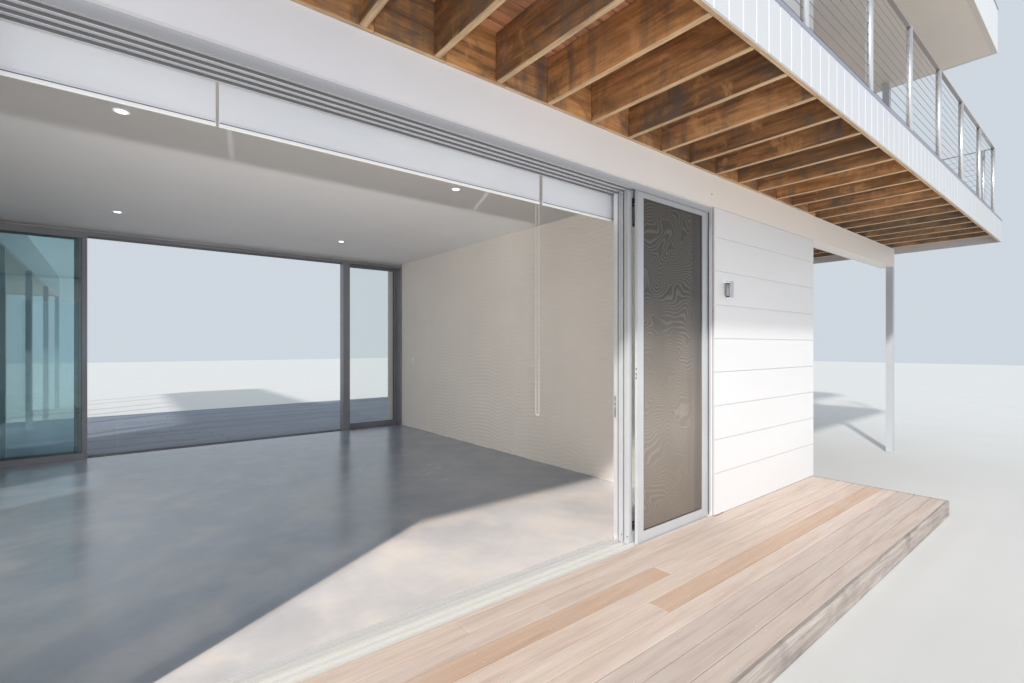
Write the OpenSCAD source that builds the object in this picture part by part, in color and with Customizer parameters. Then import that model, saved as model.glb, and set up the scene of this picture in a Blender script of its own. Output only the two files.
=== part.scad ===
// Two-storey beach house with a flat roof, a timber balcony and a glazed living room.
// Origin on the ground, in line with the middle of the front doorway and of the depth.
// +X runs along the front to the right, +Y into the house and +Z up.

/* [Plan] */
// Width of the front and rear door frames, which is also the living room's width
opening_w = 6070; // [5600:10:6600]
// Width of the front wall left of the doorway
left_bay_w = 1890; // [1700:10:3000]
// Width of the front wall right of the doorway
right_bay_w = 2070; // [1900:10:3000]
// Depth of the house over its outer walls
house_d = 6850; // [6500:50:8500]
// Thickness of the outer walls
wall_t = 260; // [260:5:320]
// Thickness of the wall beside the living room
feature_t = 200; // [120:5:260]
// Width by which the wall's outer skin laps over the door frame's jambs
lap_w = 175; // [60:5:200]
// Depth that the upper floor bears on the walls
bearing = 90; // [60:5:120]

/* [Heights] */
// Thickness of the ground slab above the ground
slab_t = 150; // [130:5:250]
// Height of the living room
ceiling_h = 3140; // [2800:5:3400]
// Thickness of the floor between the storeys
floor_t = 300; // [200:5:350]
// Height of the upper floor above the balcony's boards
balcony_step = 37; // [20:1:60]
// Depth of the beam over the front doorway, which ends at the joists
beam_h = 288; // [240:2:340]
// Distance from the ceiling down to the head of the rear doorway
rear_drop = 35; // [20:5:200]
// Height of the upper rooms
upper_h = 2400; // [2300:10:2700]

/* [Balcony] */
// Depth of the balcony in front of the wall
balcony_d = 1165; // [1000:5:1600]
// Distance from the end wall to the end of the porch beams
porch_w = 3240; // [2600:10:4000]
// Reach of the balcony beyond the porch beams
balcony_over = 585; // [300:10:800]
// Reach of the terrace behind the rear wall
terrace_over = 300; // [100:10:500]
// Depth of the joists
joist_h = 290; // [260:5:320]
// Thickness of each joist
joist_t = 39; // [35:1:60]
// Distance between the middles of neighbouring joists
joist_pitch = 412; // [400:2:600]
// Distance from the end fascia to the nearest joist
end_bay = 686; // [400:2:900]
// Thickness of the rims across the joists' ends
rim_t = 24; // [18:1:45]
// Thickness of the deck boards
board_t = 25; // [20:1:32]
// Thickness of the balcony's white fascia boards
fascia_t = 12; // [10:1:30]
// Height of the metal edge on the fascia
edge_h = 35; // [30:1:60]
// Height of the metal edge above the deck boards
edge_lip = 23; // [5:1:25]
// Width by which the metal edge overhangs the fascia
edge_over = 3; // [0:1:10]
// Thickness of the porch beams and the beam over the doorway
beam_t = 180; // [120:5:220]
// Width of the square posts
post_w = 90; // [80:2:120]

/* [Balustrade] */
// Height of the handrail above the deck boards
rail_h = 1085; // [1070:5:1150]
// Diameter of the balustrade posts
rail_post_d = 50; // [38:1:60]
// Distance from the fascia's face to the middle of the balustrade posts
rail_inset = 86; // [80:1:110]
// Distance between the balustrade posts from the corner to the post where the wires are strained
rail_bay = 1122; // [900:2:1300]
// Distance between the other posts of the front balustrade, and the greatest one in the others
long_bay = 1238; // [900:2:1400]
// Width of the handrail
handrail_w = 38; // [36:1:70]
// Thickness of the handrail
handrail_t = 10; // [8:1:20]
// Number of wires
wires = 12; // [8:1:12]
// Distance between neighbouring wires
wire_pitch = 82; // [78:1:86]
// Diameter of the wires
wire_d = 5; // [3:0.5:6]
// Diameter of the wire strainers
strainer_d = 12; // [8:1:16]
// Length of the wire strainers
strainer_l = 80; // [50:5:120]
// Number of bays between the corner and the post where the front wires are strained
strainer_bays = 5; // [2:1:7]
// Diameter of the flanges under the balustrade posts
flange_d = 90; // [70:2:110]
// Thickness of the flanges under the balustrade posts
flange_t = 6; // [4:1:12]

/* [Roof] */
// Reach of the roof in front of the wall
roof_front = 1170; // [900:10:1600]
// Reach of the roof beyond the end wall on the left and the porch beams on the right
roof_side = 170; // [100:10:500]
// Reach of the roof behind the rear wall
roof_rear = 350; // [200:10:600]
// Depth of the lined soffit below the upper ceiling
soffit_t = 94; // [40:2:140]
// Thickness of the roof deck
roof_t = 200; // [150:5:300]
// Distance between the ribs of the roof's sheet
rib_pitch = 400; // [300:10:600]
// Width of the ribs
rib_w = 36; // [24:2:60]
// Height of the ribs
rib_h = 30; // [15:1:40]
// Height of the roof's fascia
roof_fascia_h = 615; // [450:5:750]
// Thickness of the roof's fascia
roof_fascia_t = 60; // [40:2:100]
// Thickness of the folded metal cappings
capping_t = 14; // [8:1:25]
// Width by which a capping overhangs the fascia below it
capping_over = 8; // [4:1:15]

/* [Decks] */
// Depth of the front deck
front_deck_d = 1232; // [900:10:2000]
// Depth of the rear deck
rear_deck_d = 4900; // [2400:10:5400]
// Thickness of the deck's edge boards
edge_t = 30; // [20:1:45]
// Width of the deck's bearers
bearer_t = 70; // [45:1:100]
// Distance between the middles of neighbouring bearers
bearer_pitch = 900; // [600:10:1200]

/* [Verandah] */
// Distance from the end wall to the verandah's outer face
verandah_w = 2390; // [2000:10:2600]
// Length of the verandah behind the rear wall
verandah_l = 9480; // [6000:10:10000]
// Height of the verandah's soffit above the level of the front door head
verandah_rise = 110; // [0:5:200]
// Height of the verandah's roof from soffit to top
verandah_t = 540; // [200:5:600]
// Distance between neighbouring verandah posts
verandah_pitch = 2930; // [2400:10:3200]
// Distance from the last verandah post to the end of the roof
verandah_end = 150; // [60:5:300]

/* [Doors and windows] */
// Distance from the wall's face to the door and window frames
frame_recess = 30; // [10:1:40]
// Width of the jambs
jamb_w = 30; // [24:1:50]
// Width of the jambs on the screen door's track
screen_jamb = 210; // [180:5:260]
// Height of the door head
head_h = 50; // [40:1:90]
// Thickness of the door sill
sill_t = 40; // [30:1:50]
// Width of each door track
track_w = 52; // [50:1:54]
// Thickness of the webs between the door tracks
web_t = 4; // [3:0.5:5]
// Depth of the tracks in the head
head_track = 30; // [24:1:40]
// Depth of the tracks in the sill
sill_track = 18; // [14:1:24]
// Thickness of the door panels
panel_t = 40; // [34:1:42]
// Width of the stiles, which is also the overlap of two closed panels
stile_w = 56; // [44:1:64]
// Width of the fixed panel at the right of the rear doorway
rear_light_w = 1065; // [900:5:1250]
// Width of the mullion between that panel and the sliding ones
mullion_w = 120; // [80:5:160]
// Distance by which each parked rear panel stands out past the next
park_step = 38; // [0:1:45]
// Height of the panels' bottom rails
rail_b = 88; // [60:1:120]
// Height of the panels' top rails
rail_t = 62; // [50:1:90]
// Width of the screen door
screen_w = 1015; // [900:5:1150]
// Width of the screen door's stiles
screen_stile = 76; // [60:1:90]
// Thickness of the screen door
screen_t = 26; // [20:1:36]
// Thickness of the glass
glass_t = 10; // [6:1:14]
// Thickness of the insect mesh
mesh_t = 2; // [1:0.5:4]
// Radius of the rollers under the panels
roller_r = 12; // [10:1:15]
// Width of the rollers
roller_w = 10; // [6:1:16]
// Height of the upper doors and windows above the upper floor
upper_door_h = 2150; // [2000:10:2250]
// Height of the window sills above the floor
window_sill = 900; // [700:10:1100]
// Width of the end walls' windows
window_w = 1200; // [900:10:1600]
// Width of the door from the upper room to the terrace
terrace_door_w = 2200; // [1800:10:2600]
// Depth of the fixed window frames
window_d = 100; // [70:5:140]
// Width of the fixed window frames' members
window_bar = 50; // [40:1:70]

/* [Living room] */
// Distance from the front wall's inner face to the blinds
blind_gap = 69; // [60:1:150]
// Distance between neighbouring blinds
blind_space = 20; // [12:1:40]
// Distance from the ceiling down to the blinds' bottom edge
blind_drop = 585; // [300:5:900]
// Diameter of the rolled blinds
roll_d = 76; // [60:1:90]
// Distance from the ceiling to the middle of the rolled blinds
roll_drop = 70; // [50:1:90]
// Thickness of the blinds' fabric
fabric_t = 3; // [2:0.5:5]
// Height of the blinds' bottom rails
blind_rail_h = 30; // [20:1:40]
// Height of the bead chain's lower end above the floor
chain_z = 1040; // [700:10:1500]
// Diameter of the bead chain
bead_d = 5; // [4:0.5:6]
// Distance between the two runs of the bead chain
chain_w = 34; // [20:1:44]
// Distance of the downlights from the middle of the room, across and along
downlight_at = [1340, 1630];
// Distance of the downlights' middle behind the middle of the room
downlight_y = 150; // [-300:10:300]
// Diameter of the downlights
downlight_d = 96; // [70:1:120]
// Thickness of the downlights' rims below the ceiling
downlight_t = 5; // [3:1:10]
// Width of the downlights' rims
downlight_rim = 14; // [8:1:20]
// Width, depth and height of the wall light
wall_light = [110, 90, 150];
// Height of the wall light above the floor
wall_light_z = 1985; // [1700:5:2200]
// Distance from the cladding's edge at the doorway to the wall light
wall_light_x = 170; // [60:5:600]
// Width, thickness and height of the switch plate
switch_size = [10, 76, 116];
// Height of the switch plate above the floor
switch_z = 1210; // [900:10:1400]
// Distance of the switch plate from the rear wall
switch_y = 500; // [300:10:800]

/* [Hidden] */

$fn = 32;
// Overshoot of a cut past the face that it opens
cut = 10;
// Gap between boards that meet at a corner
joint = 2;
// Running gap between a roller and its track, and between loose fitted pieces
seat = 0.3;
// Clearance between a parked panel and the jamb
park = 8;
// Clearance above and below a panel in its tracks
lift = 8;
// Distance from a panel's edges to its rollers
roller_in = 150;

// Plan lines
open_x = opening_w / 2;
left_x = -open_x - left_bay_w;
right_x = open_x + right_bay_w;
front_y = -house_d / 2;
rear_y = house_d / 2;
in_front_y = front_y + wall_t;
in_rear_y = rear_y - wall_t;
feature_x = open_x;
skin_x = open_x - lap_w;
beam_end_x = right_x + porch_w;
post_x = beam_end_x - post_w / 2;
balcony_x = beam_end_x + balcony_over;
balcony_y = front_y - balcony_d;
terrace_y = rear_y + terrace_over;
roof_x = [left_x - roof_side, beam_end_x + roof_side];
roof_y = [front_y - roof_front, rear_y + roof_rear];

// Levels
floor_z = slab_t;
ceiling_z = floor_z + ceiling_h;
upper_z = ceiling_z + floor_t;
deck_z = upper_z - balcony_step;
board_z = deck_z - board_t;
joist_z = board_z - joist_h;
head_z = joist_z - beam_h;
rear_head_z = ceiling_z - rear_drop;
door_h = head_z - floor_z;
rear_door_h = rear_head_z - floor_z;
blind_z = ceiling_z - blind_drop;
upper_ceiling_z = upper_z + upper_h;
soffit_z = upper_ceiling_z - soffit_t;
roof_top_z = soffit_z + roof_fascia_h;
fascia_top_z = deck_z + edge_lip - edge_h;

// Door tracks, counted from the outside
track_pitch = track_w + web_t;
frame_d = 4 * track_pitch + web_t;
clear_w = opening_w - 2 * jamb_w;
panel_w = (clear_w + 4 * stile_w) / 5;
panel_step = panel_w - stile_w;
panel_z = floor_z - sill_track + lift;

function track_y(i, t) = web_t + i * track_pitch + (track_w - t) / 2;
function panel_h(top) = top - head_h + head_track - lift - panel_z;

// Box between two corners, one pair of values for each axis
module block(x, y, z)
    translate([x[0], y[0], z[0]]) cube([x[1] - x[0], y[1] - y[0], z[1] - z[0]]);

// Four boards round a rectangle, w = widths on the left, right, front and rear
module ring(x, y, z, w) {
    block(x, [y[0], y[0] + w[2]], z);
    block(x, [y[1] - w[3], y[1]], z);
    block([x[0], x[0] + w[0]], [y[0] + w[2] + joint, y[1] - w[3] - joint], z);
    block([x[1] - w[1], x[1]], [y[0] + w[2] + joint, y[1] - w[3] - joint], z);
}

// The plate that fills the storeys' junction, also cut out of the walls around it
module floor_plate()
    block([left_x + wall_t - bearing, right_x - wall_t + bearing],
        [in_front_y - bearing, in_rear_y + bearing], [ceiling_z, upper_z]);

module ground_slab() color([0.62, 0.62, 0.61]) difference() {
    block([left_x, right_x], [front_y, rear_y], [0, floor_z]);
    block([-open_x, open_x], [front_y - cut, front_y + frame_recess + frame_d],
        [floor_z - sill_t, floor_z + cut]);
    block([-open_x, open_x], [rear_y - frame_recess - frame_d, rear_y + cut],
        [floor_z - sill_t, floor_z + cut]);
}

// Boarded platform with edge boards and bearers that stand on the ground
module deck(x, y) {
    block(x, y, [floor_z - board_t, floor_z]);
    difference() {
        block(x, y, [0, floor_z - board_t]);
        block([x[0] + edge_t, x[1] - edge_t], [y[0] + edge_t, y[1] - edge_t],
            [-cut, floor_z - board_t + cut]);
    }
    for (bx = [x[0] + bearer_pitch : bearer_pitch : x[1] - bearer_pitch / 2])
        block([bx - bearer_t / 2, bx + bearer_t / 2], y, [0, floor_z - board_t]);
}

// The boards run on into the doorways up to the sills
module front_deck() color([0.74, 0.62, 0.53]) {
    deck([left_x, right_x], [front_y - front_deck_d, front_y]);
    block([-skin_x, skin_x], [front_y, front_y + frame_recess], [floor_z - board_t, floor_z]);
}

module rear_deck() color([0.62, 0.60, 0.58]) {
    deck([left_x, right_x], [rear_y, rear_y + rear_deck_d]);
    block([-skin_x, skin_x], [rear_y - frame_recess, rear_y], [floor_z - board_t, floor_z]);
}

// The walls beside a doorway, with the outer skin that laps over the frame's jambs
module beside_doorway(y, skin_y, z) {
    block([left_x, -open_x], y, z);
    block([-open_x - joint, -skin_x], skin_y, z);
    block([open_x, right_x], y, z);
    block([skin_x, open_x + joint], skin_y, z);
}

module front_wall() color([0.93, 0.93, 0.92])
    beside_doorway([front_y, in_front_y], [front_y, front_y + frame_recess], [floor_z, head_z]);

module rear_wall() color([0.93, 0.93, 0.92])
    beside_doorway([in_rear_y, rear_y], [rear_y - frame_recess, rear_y],
        [floor_z, rear_head_z]);

// Room for a window in an end wall, w wide and from z[0] to z[1]
module end_hole(w, z)
    block([left_x - cut, right_x + cut], [-w / 2, w / 2], z);

module end_walls() color([0.93, 0.93, 0.92]) difference() {
    for (x = [left_x, right_x - wall_t])
        block([x, x + wall_t], [in_front_y, in_rear_y], [floor_z, ceiling_z]);
    end_hole(window_w, [floor_z + window_sill, floor_z + upper_door_h]);
}

module feature_wall() color([0.80, 0.79, 0.77])
    block([feature_x, feature_x + feature_t], [in_front_y, in_rear_y], [floor_z, ceiling_z]);

// As thick as the wall over the doorway, and a free beam along the porch
module front_beam() color([0.93, 0.93, 0.93]) {
    block([left_x, right_x], [front_y, in_front_y], [head_z, joist_z]);
    block([right_x - joint, beam_end_x], [front_y, front_y + beam_t], [head_z, joist_z]);
}

module porch_beams() color([0.93, 0.93, 0.93])
    for (y = [-beam_t / 2, rear_y - beam_t])
        block([right_x, beam_end_x], [y, y + beam_t], [head_z, joist_z]);

module post(x, y, z)
    block([x - post_w / 2, x + post_w / 2], [y - post_w / 2, y + post_w / 2], z);

module posts() color([0.55, 0.56, 0.58]) {
    for (y = [front_y + post_w / 2, 0, rear_y - post_w / 2]) post(post_x, y, [0, head_z]);
    for (y = [front_y + beam_t / 2, 0, rear_y - beam_t / 2])
        post(post_x, y, [deck_z, soffit_z]);
    for (i = [0 : 3], x = [left_x + post_w / 2, left_x + verandah_w - post_w / 2])
        verandah_post(x, rear_y + verandah_l - verandah_end - post_w / 2 - i * verandah_pitch);
}

// A post on the rear deck stands on its boards, and one behind it on the ground
module verandah_post(x, y)
    post(x, y, [y - post_w / 2 < rear_y + rear_deck_d ? floor_z : 0, head_z + verandah_rise]);

module upper_floor() color([0.88, 0.88, 0.87]) floor_plate();

// The balcony's boards and rims end against the fascia's inner face
joist_x = [left_x + fascia_t, balcony_x - fascia_t];
joist_y = [balcony_y + fascia_t, terrace_y - fascia_t];
first_joist = joist_x[1] - end_bay - joist_t;
joist_count = floor((first_joist - joist_x[0]) / joist_pitch);

module joists(from, to, y)
    for (i = [0 : joist_count]) {
        x = first_joist - i * joist_pitch;
        if (x >= from && x + joist_t <= to) block([x, x + joist_t], y, [joist_z, board_z]);
    }

module balcony_joists() color([0.62, 0.43, 0.26]) {
    joists(joist_x[0], right_x, [joist_y[0], front_y]);
    block([joist_x[0], joist_x[0] + joist_t], [joist_y[0], front_y], [joist_z, board_z]);
    block([joist_x[0], right_x], [joist_y[0], joist_y[0] + rim_t], [joist_z, board_z]);
    block([joist_x[0], right_x], [front_y - rim_t, front_y], [joist_z, board_z]);
}

module terrace_joists() color([0.62, 0.43, 0.26]) {
    joists(right_x, joist_x[1], joist_y);
    block([right_x, joist_x[1]], [joist_y[0], joist_y[0] + rim_t], [joist_z, board_z]);
    block([right_x, joist_x[1]], [joist_y[1] - rim_t, joist_y[1]], [joist_z, board_z]);
}

module balcony_boards() color([0.52, 0.33, 0.23])
    block([joist_x[0], right_x], [joist_y[0], front_y], [board_z, deck_z]);

module terrace_boards() color([0.52, 0.33, 0.23])
    block([right_x, joist_x[1]], joist_y, [board_z, deck_z]);

module balcony_fascia() color([0.95, 0.95, 0.95]) {
    z = [joist_z, fascia_top_z];
    block([left_x, balcony_x], [balcony_y, balcony_y + fascia_t], z);
    block([left_x, left_x + fascia_t], [balcony_y + fascia_t + joint, front_y], z);
    block([balcony_x - fascia_t, balcony_x], [balcony_y + fascia_t + joint, terrace_y], z);
    block([right_x, balcony_x - fascia_t - joint], [terrace_y - fascia_t, terrace_y], z);
}

module metal_capping() color([0.66, 0.67, 0.70]) {
    z = [fascia_top_z, deck_z + edge_lip];
    x = [left_x - edge_over, balcony_x + edge_over];
    y = [balcony_y - edge_over, balcony_y + fascia_t];
    end_y = terrace_y + edge_over;
    block(x, y, z);
    block([x[0], left_x + fascia_t], [y[1] + joint, front_y], z);
    block([balcony_x - fascia_t, x[1]], [y[1] + joint, end_y], z);
    block([right_x, balcony_x - fascia_t - joint], [terrace_y - fascia_t, end_y], z);
    roof_w = roof_fascia_t + 2 * capping_over;
    ring([roof_x[0] - capping_over, roof_x[1] + capping_over],
        [roof_y[0] - capping_over, roof_y[1] + capping_over],
        [roof_top_z, roof_top_z + capping_t], [roof_w, roof_w, roof_w, roof_w]);
}

// Places of posts between two ends, no farther apart than the long bay
function even(first, last) = let (bays = ceil((last - first) / long_bay))
    [for (i = [0 : bays]) first + i * (last - first) / bays];

// One straight run along +X: posts, handrail and wires, which have strainers against some posts
module balustrade(length, posts, strained) {
    for (x = posts) translate([x, 0, 0]) {
        cylinder(d = rail_post_d, h = rail_h - handrail_t);
        cylinder(d = flange_d, h = flange_t);
    }
    translate([0, -handrail_w / 2, rail_h - handrail_t]) cube([length, handrail_w, handrail_t]);
    for (i = [1 : wires]) translate([0, 0, i * wire_pitch]) rotate([0, 90, 0]) {
        translate([0, 0, posts[0]])
            cylinder(d = wire_d, h = posts[len(posts) - 1] - posts[0], $fn = 6);
        for (x = strained) translate([0, 0, x - rail_post_d / 2 - strainer_l])
            cylinder(d = strainer_d, h = strainer_l + wire_d, $fn = 6);
    }
}

rail_x = [left_x + rail_inset, balcony_x - rail_inset];
rail_y = [balcony_y + rail_inset, terrace_y - rail_inset];
// A side run starts clear of the front handrail and stops at the wall
side_start = handrail_w / 2 + seat;
side_post = handrail_w / 2 + flange_d;
// The front run's ends, and its post where the wires are strained
front_ends = [handrail_w / 2, rail_x[1] - rail_x[0] + handrail_w / 2];
strained_x = front_ends[1] - strainer_bays * rail_bay;
long_bays = floor((strained_x - front_ends[0]) / long_bay - 0.5);

module front_balustrade() color([0.75, 0.76, 0.78])
    translate([rail_x[0] - handrail_w / 2, rail_y[0], deck_z])
        balustrade(rail_x[1] - rail_x[0] + handrail_w,
            concat([front_ends[0]],
                [for (i = [long_bays : -1 : 1]) strained_x - i * long_bay],
                [for (i = [strainer_bays : -1 : 0]) front_ends[1] - i * rail_bay]),
            [strained_x, front_ends[1]]);

module side_balustrades() color([0.75, 0.76, 0.78]) {
    left_l = front_y - rail_y[0] - side_start;
    translate([rail_x[0], rail_y[0], deck_z]) rotate([0, 0, 90]) translate([side_start, 0, 0])
        balustrade(left_l, even(side_post - side_start, left_l - rail_post_d),
            [left_l - rail_post_d]);
    right_l = rail_y[1] - rail_y[0] - side_start;
    translate([rail_x[1], rail_y[0], deck_z]) rotate([0, 0, 90]) translate([side_start, 0, 0])
        balustrade(right_l + handrail_w / 2, even(side_post - side_start, right_l), [right_l]);
    rear_l = rail_x[1] - right_x;
    translate([right_x, rail_y[1], deck_z])
        balustrade(rear_l - side_start, even(rail_post_d, rear_l - side_post),
            [rear_l - side_post]);
}

module upper_front_wall() color([0.93, 0.93, 0.92]) difference() {
    block([left_x, right_x], [front_y, in_front_y], [joist_z, upper_ceiling_z]);
    floor_plate();
    block([-open_x, open_x], [front_y - cut, in_front_y + cut],
        [upper_z, upper_z + upper_door_h]);
}

module upper_rear_wall() color([0.93, 0.93, 0.92]) difference() {
    block([left_x, right_x], [in_rear_y, rear_y], [rear_head_z, upper_ceiling_z]);
    floor_plate();
    block([-open_x, open_x], [in_rear_y - cut, rear_y + cut],
        [upper_z + window_sill, upper_z + upper_door_h]);
}

module upper_end_walls() color([0.93, 0.93, 0.92]) difference() {
    for (x = [left_x, right_x - wall_t])
        block([x, x + wall_t], [in_front_y, in_rear_y], [ceiling_z, upper_ceiling_z]);
    floor_plate();
    block([left_x - cut, left_x + wall_t + cut], [-window_w / 2, window_w / 2],
        [upper_z + window_sill, upper_z + upper_door_h]);
    block([right_x - wall_t - cut, right_x + cut], [-terrace_door_w / 2, terrace_door_w / 2],
        [upper_z, upper_z + upper_door_h]);
}

// Frame of a row of lights along +X with its front face at Y = 0, and the glass in it
module window_frame(w, h, lights)
    difference() {
        cube([w, window_d, h]);
        panes(w, h, lights, -cut, window_d + 2 * cut);
    }

module panes(w, h, lights, y, t) {
    pane_w = (w - (lights + 1) * window_bar) / lights;
    for (i = [0 : lights - 1])
        translate([window_bar + i * (pane_w + window_bar), y, window_bar])
            cube([pane_w, t, h - 2 * window_bar]);
}

// Every fixed window: the children draw it along +X with its outer face at Y = 0
module at_front(x, z) translate([x, front_y + frame_recess, z]) children();
module at_rear(x, z) translate([x, rear_y - frame_recess, z]) rotate([0, 0, 180]) children();
module at_left(y, z) translate([left_x + frame_recess, y, z]) rotate([0, 0, -90]) children();
module at_right(y, z) translate([right_x - frame_recess, y, z]) rotate([0, 0, 90]) children();

window_h = upper_door_h - window_sill;

module window_frames() color([0.62, 0.64, 0.66]) {
    at_front(-open_x, upper_z) window_frame(opening_w, upper_door_h, 5);
    at_rear(open_x, upper_z + window_sill) window_frame(opening_w, window_h, 5);
    at_left(window_w / 2, upper_z + window_sill) window_frame(window_w, window_h, 1);
    at_right(-terrace_door_w / 2, upper_z) window_frame(terrace_door_w, upper_door_h, 2);
    at_left(window_w / 2, floor_z + window_sill) window_frame(window_w, window_h, 1);
    at_right(-window_w / 2, floor_z + window_sill) window_frame(window_w, window_h, 1);
}

module fixed_glass() color([0.70, 0.82, 0.82, 0.35]) {
    y = (window_d - glass_t) / 2;
    at_front(-open_x, upper_z) panes(opening_w, upper_door_h, 5, y, glass_t);
    at_rear(open_x, upper_z + window_sill) panes(opening_w, window_h, 5, y, glass_t);
    at_left(window_w / 2, upper_z + window_sill) panes(window_w, window_h, 1, y, glass_t);
    at_right(-terrace_door_w / 2, upper_z) panes(terrace_door_w, upper_door_h, 2, y, glass_t);
    at_left(window_w / 2, floor_z + window_sill) panes(window_w, window_h, 1, y, glass_t);
    at_right(-window_w / 2, floor_z + window_sill) panes(window_w, window_h, 1, y, glass_t);
    for (x = fixed_x)
        on_front_track(x, 3, panel_t) panel_pane(panel_w, front_h, panel_t, stile_w, glass_t);
    on_rear_track(clear_x[0], 0) panel_pane(rear_w, rear_h, panel_t, stile_w, glass_t);
    on_rear_track(light_x, 0) panel_pane(rear_light_w, rear_h, panel_t, stile_w, glass_t);
}

module roof_slab() color([0.60, 0.61, 0.62]) {
    x = [roof_x[0] + roof_fascia_t, roof_x[1] - roof_fascia_t];
    y = [roof_y[0] + roof_fascia_t, roof_y[1] - roof_fascia_t];
    top_z = upper_ceiling_z + roof_t;
    block(x, y, [upper_ceiling_z, top_z]);
    for (rib_x = [x[0] + rib_pitch / 2 : rib_pitch : x[1] - rib_pitch / 4])
        block([rib_x - rib_w / 2, rib_x + rib_w / 2], y, [top_z, top_z + rib_h]);
}

module roof_soffit() color([0.78, 0.73, 0.67]) {
    x = [roof_x[0] + roof_fascia_t, roof_x[1] - roof_fascia_t];
    y = [roof_y[0] + roof_fascia_t, roof_y[1] - roof_fascia_t];
    ring(x, y, [soffit_z, upper_ceiling_z],
        [left_x - x[0], x[1] - right_x, front_y - y[0], y[1] - rear_y]);
}

module roof_fascia() color([0.95, 0.95, 0.95])
    ring(roof_x, roof_y, [soffit_z, roof_top_z],
        [roof_fascia_t, roof_fascia_t, roof_fascia_t, roof_fascia_t]);

module verandah_roof() color([0.93, 0.93, 0.93])
    block([left_x, left_x + verandah_w], [rear_y, rear_y + verandah_l],
        [head_z + verandah_rise, head_z + verandah_rise + verandah_t]);

// Door frame with four tracks, along +X with its outer face at Y = 0 and the floor at Z = 0.
// The outer track's jambs have the width outer_jamb
module door_frame(h, outer_jamb) difference() {
    translate([0, 0, -sill_t]) cube([opening_w, frame_d, h + sill_t]);
    for (i = [0 : 3]) {
        jamb = i == 0 ? outer_jamb : jamb_w;
        x = [jamb, opening_w - jamb];
        y = web_t + i * track_pitch;
        block(x, [y, y + track_w], [-sill_track, h - head_h + head_track]);
        block(x, [i == 0 ? -cut : y - joint, i == 3 ? frame_d + cut : y + track_w + web_t],
            [0, h - head_h]);
    }
}

// Framed panel that stands in a track, and the pane that fills its frame,
// w wide, h high and t thick with stiles s wide
module panel_frame(w, h, t, s) difference() {
    cube([w, t, h]);
    panel_pane(w, h, t, s, t + 2 * cut);
}

module panel_pane(w, h, t, s, pane_t)
    translate([s, (t - pane_t) / 2, rail_b])
        cube([w - 2 * s, pane_t, h - rail_b - rail_t]);

// Sliding panel: the same frame on two rollers that run on the track's floor
module slider(w, h, t, s) {
    panel_frame(w, h, t, s);
    for (x = [roller_in, w - roller_in])
        translate([x, (t + roller_w) / 2, seat + roller_r - lift])
            rotate([90, 0, 0]) cylinder(r = roller_r, h = roller_w);
}

// A fixed panel stands on the floor of its track
module fixed_panel(w, h) {
    panel_frame(w, h, panel_t, stile_w);
    translate([0, 0, -lift]) cube([w, panel_t, lift]);
}

module on_front_track(x, i, t)
    translate([x, front_y + frame_recess + track_y(i, t), panel_z]) children();

module on_rear_track(x, i)
    translate([x, rear_y - frame_recess - track_y(i, panel_t) - panel_t, panel_z]) children();

clear_x = [-open_x + jamb_w, open_x - jamb_w];
fixed_x = [clear_x[0], clear_x[1] - panel_w];
park_x = [clear_x[0] + park, clear_x[1] - park - panel_w];
front_h = panel_h(head_z);
rear_h = panel_h(rear_head_z);
// The rear doorway's fixed light, the mullion before it and the panels left of that
light_x = clear_x[1] - rear_light_w;
mullion_x = [light_x - mullion_w / 2, light_x + mullion_w / 2];
rear_w = (mullion_x[0] - clear_x[0] + 3 * stile_w) / 4;

module front_door_frame() color([0.72, 0.73, 0.74]) {
    translate([-open_x, front_y + frame_recess, floor_z]) door_frame(door_h, screen_jamb);
    for (x = fixed_x) on_front_track(x, 3, panel_t) fixed_panel(panel_w, front_h);
}

module rear_door_frame() color([0.50, 0.52, 0.54]) {
    translate([open_x, rear_y - frame_recess, floor_z]) rotate([0, 0, 180])
        door_frame(rear_door_h, jamb_w);
    on_rear_track(clear_x[0], 0) fixed_panel(rear_w, rear_h);
    on_rear_track(light_x, 0) fixed_panel(rear_light_w, rear_h);
    block(mullion_x, [rear_y - frame_recess - frame_d, rear_y - frame_recess - track_pitch - web_t],
        [floor_z - sill_track, rear_head_z - head_h + head_track]);
}

module front_slider(x, i) color([0.72, 0.73, 0.74])
    on_front_track(x, i, panel_t) slider(panel_w, front_h, panel_t, stile_w);
module front_pane(x, i) color([0.70, 0.82, 0.82, 0.35])
    on_front_track(x, i, panel_t) panel_pane(panel_w, front_h, panel_t, stile_w, glass_t);
// The rear sliding panels park on the left, the inner ones farther out
function rear_park(i) = park_x[0] + (i - 1) * park_step;
module rear_slider(i) color([0.50, 0.52, 0.54])
    on_rear_track(rear_park(i), i) slider(rear_w, rear_h, panel_t, stile_w);
module rear_pane(i) color([0.70, 0.82, 0.82, 0.35])
    on_rear_track(rear_park(i), i) panel_pane(rear_w, rear_h, panel_t, stile_w, glass_t);

module front_left_slider() front_slider(park_x[0], 2);
module front_left_glass() front_pane(park_x[0], 2);
module front_inner_slider() front_slider(park_x[1], 2);
module front_inner_glass() front_pane(park_x[1], 2);
module front_outer_slider() front_slider(park_x[1], 1);
module front_outer_glass() front_pane(park_x[1], 1);

screen_x = open_x - screen_jamb - park - screen_w;

module screen_door() color([0.72, 0.73, 0.74])
    on_front_track(screen_x, 0, screen_t) slider(screen_w, front_h, screen_t, screen_stile);
module screen_mesh() color([0.25, 0.25, 0.25, 0.6])
    on_front_track(screen_x, 0, screen_t)
        panel_pane(screen_w, front_h, screen_t, screen_stile, mesh_t);

module rear_inner_slider() rear_slider(3);
module rear_inner_glass() rear_pane(3);
module rear_middle_slider() rear_slider(2);
module rear_middle_glass() rear_pane(2);
module rear_outer_slider() rear_slider(1);
module rear_outer_glass() rear_pane(1);

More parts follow.
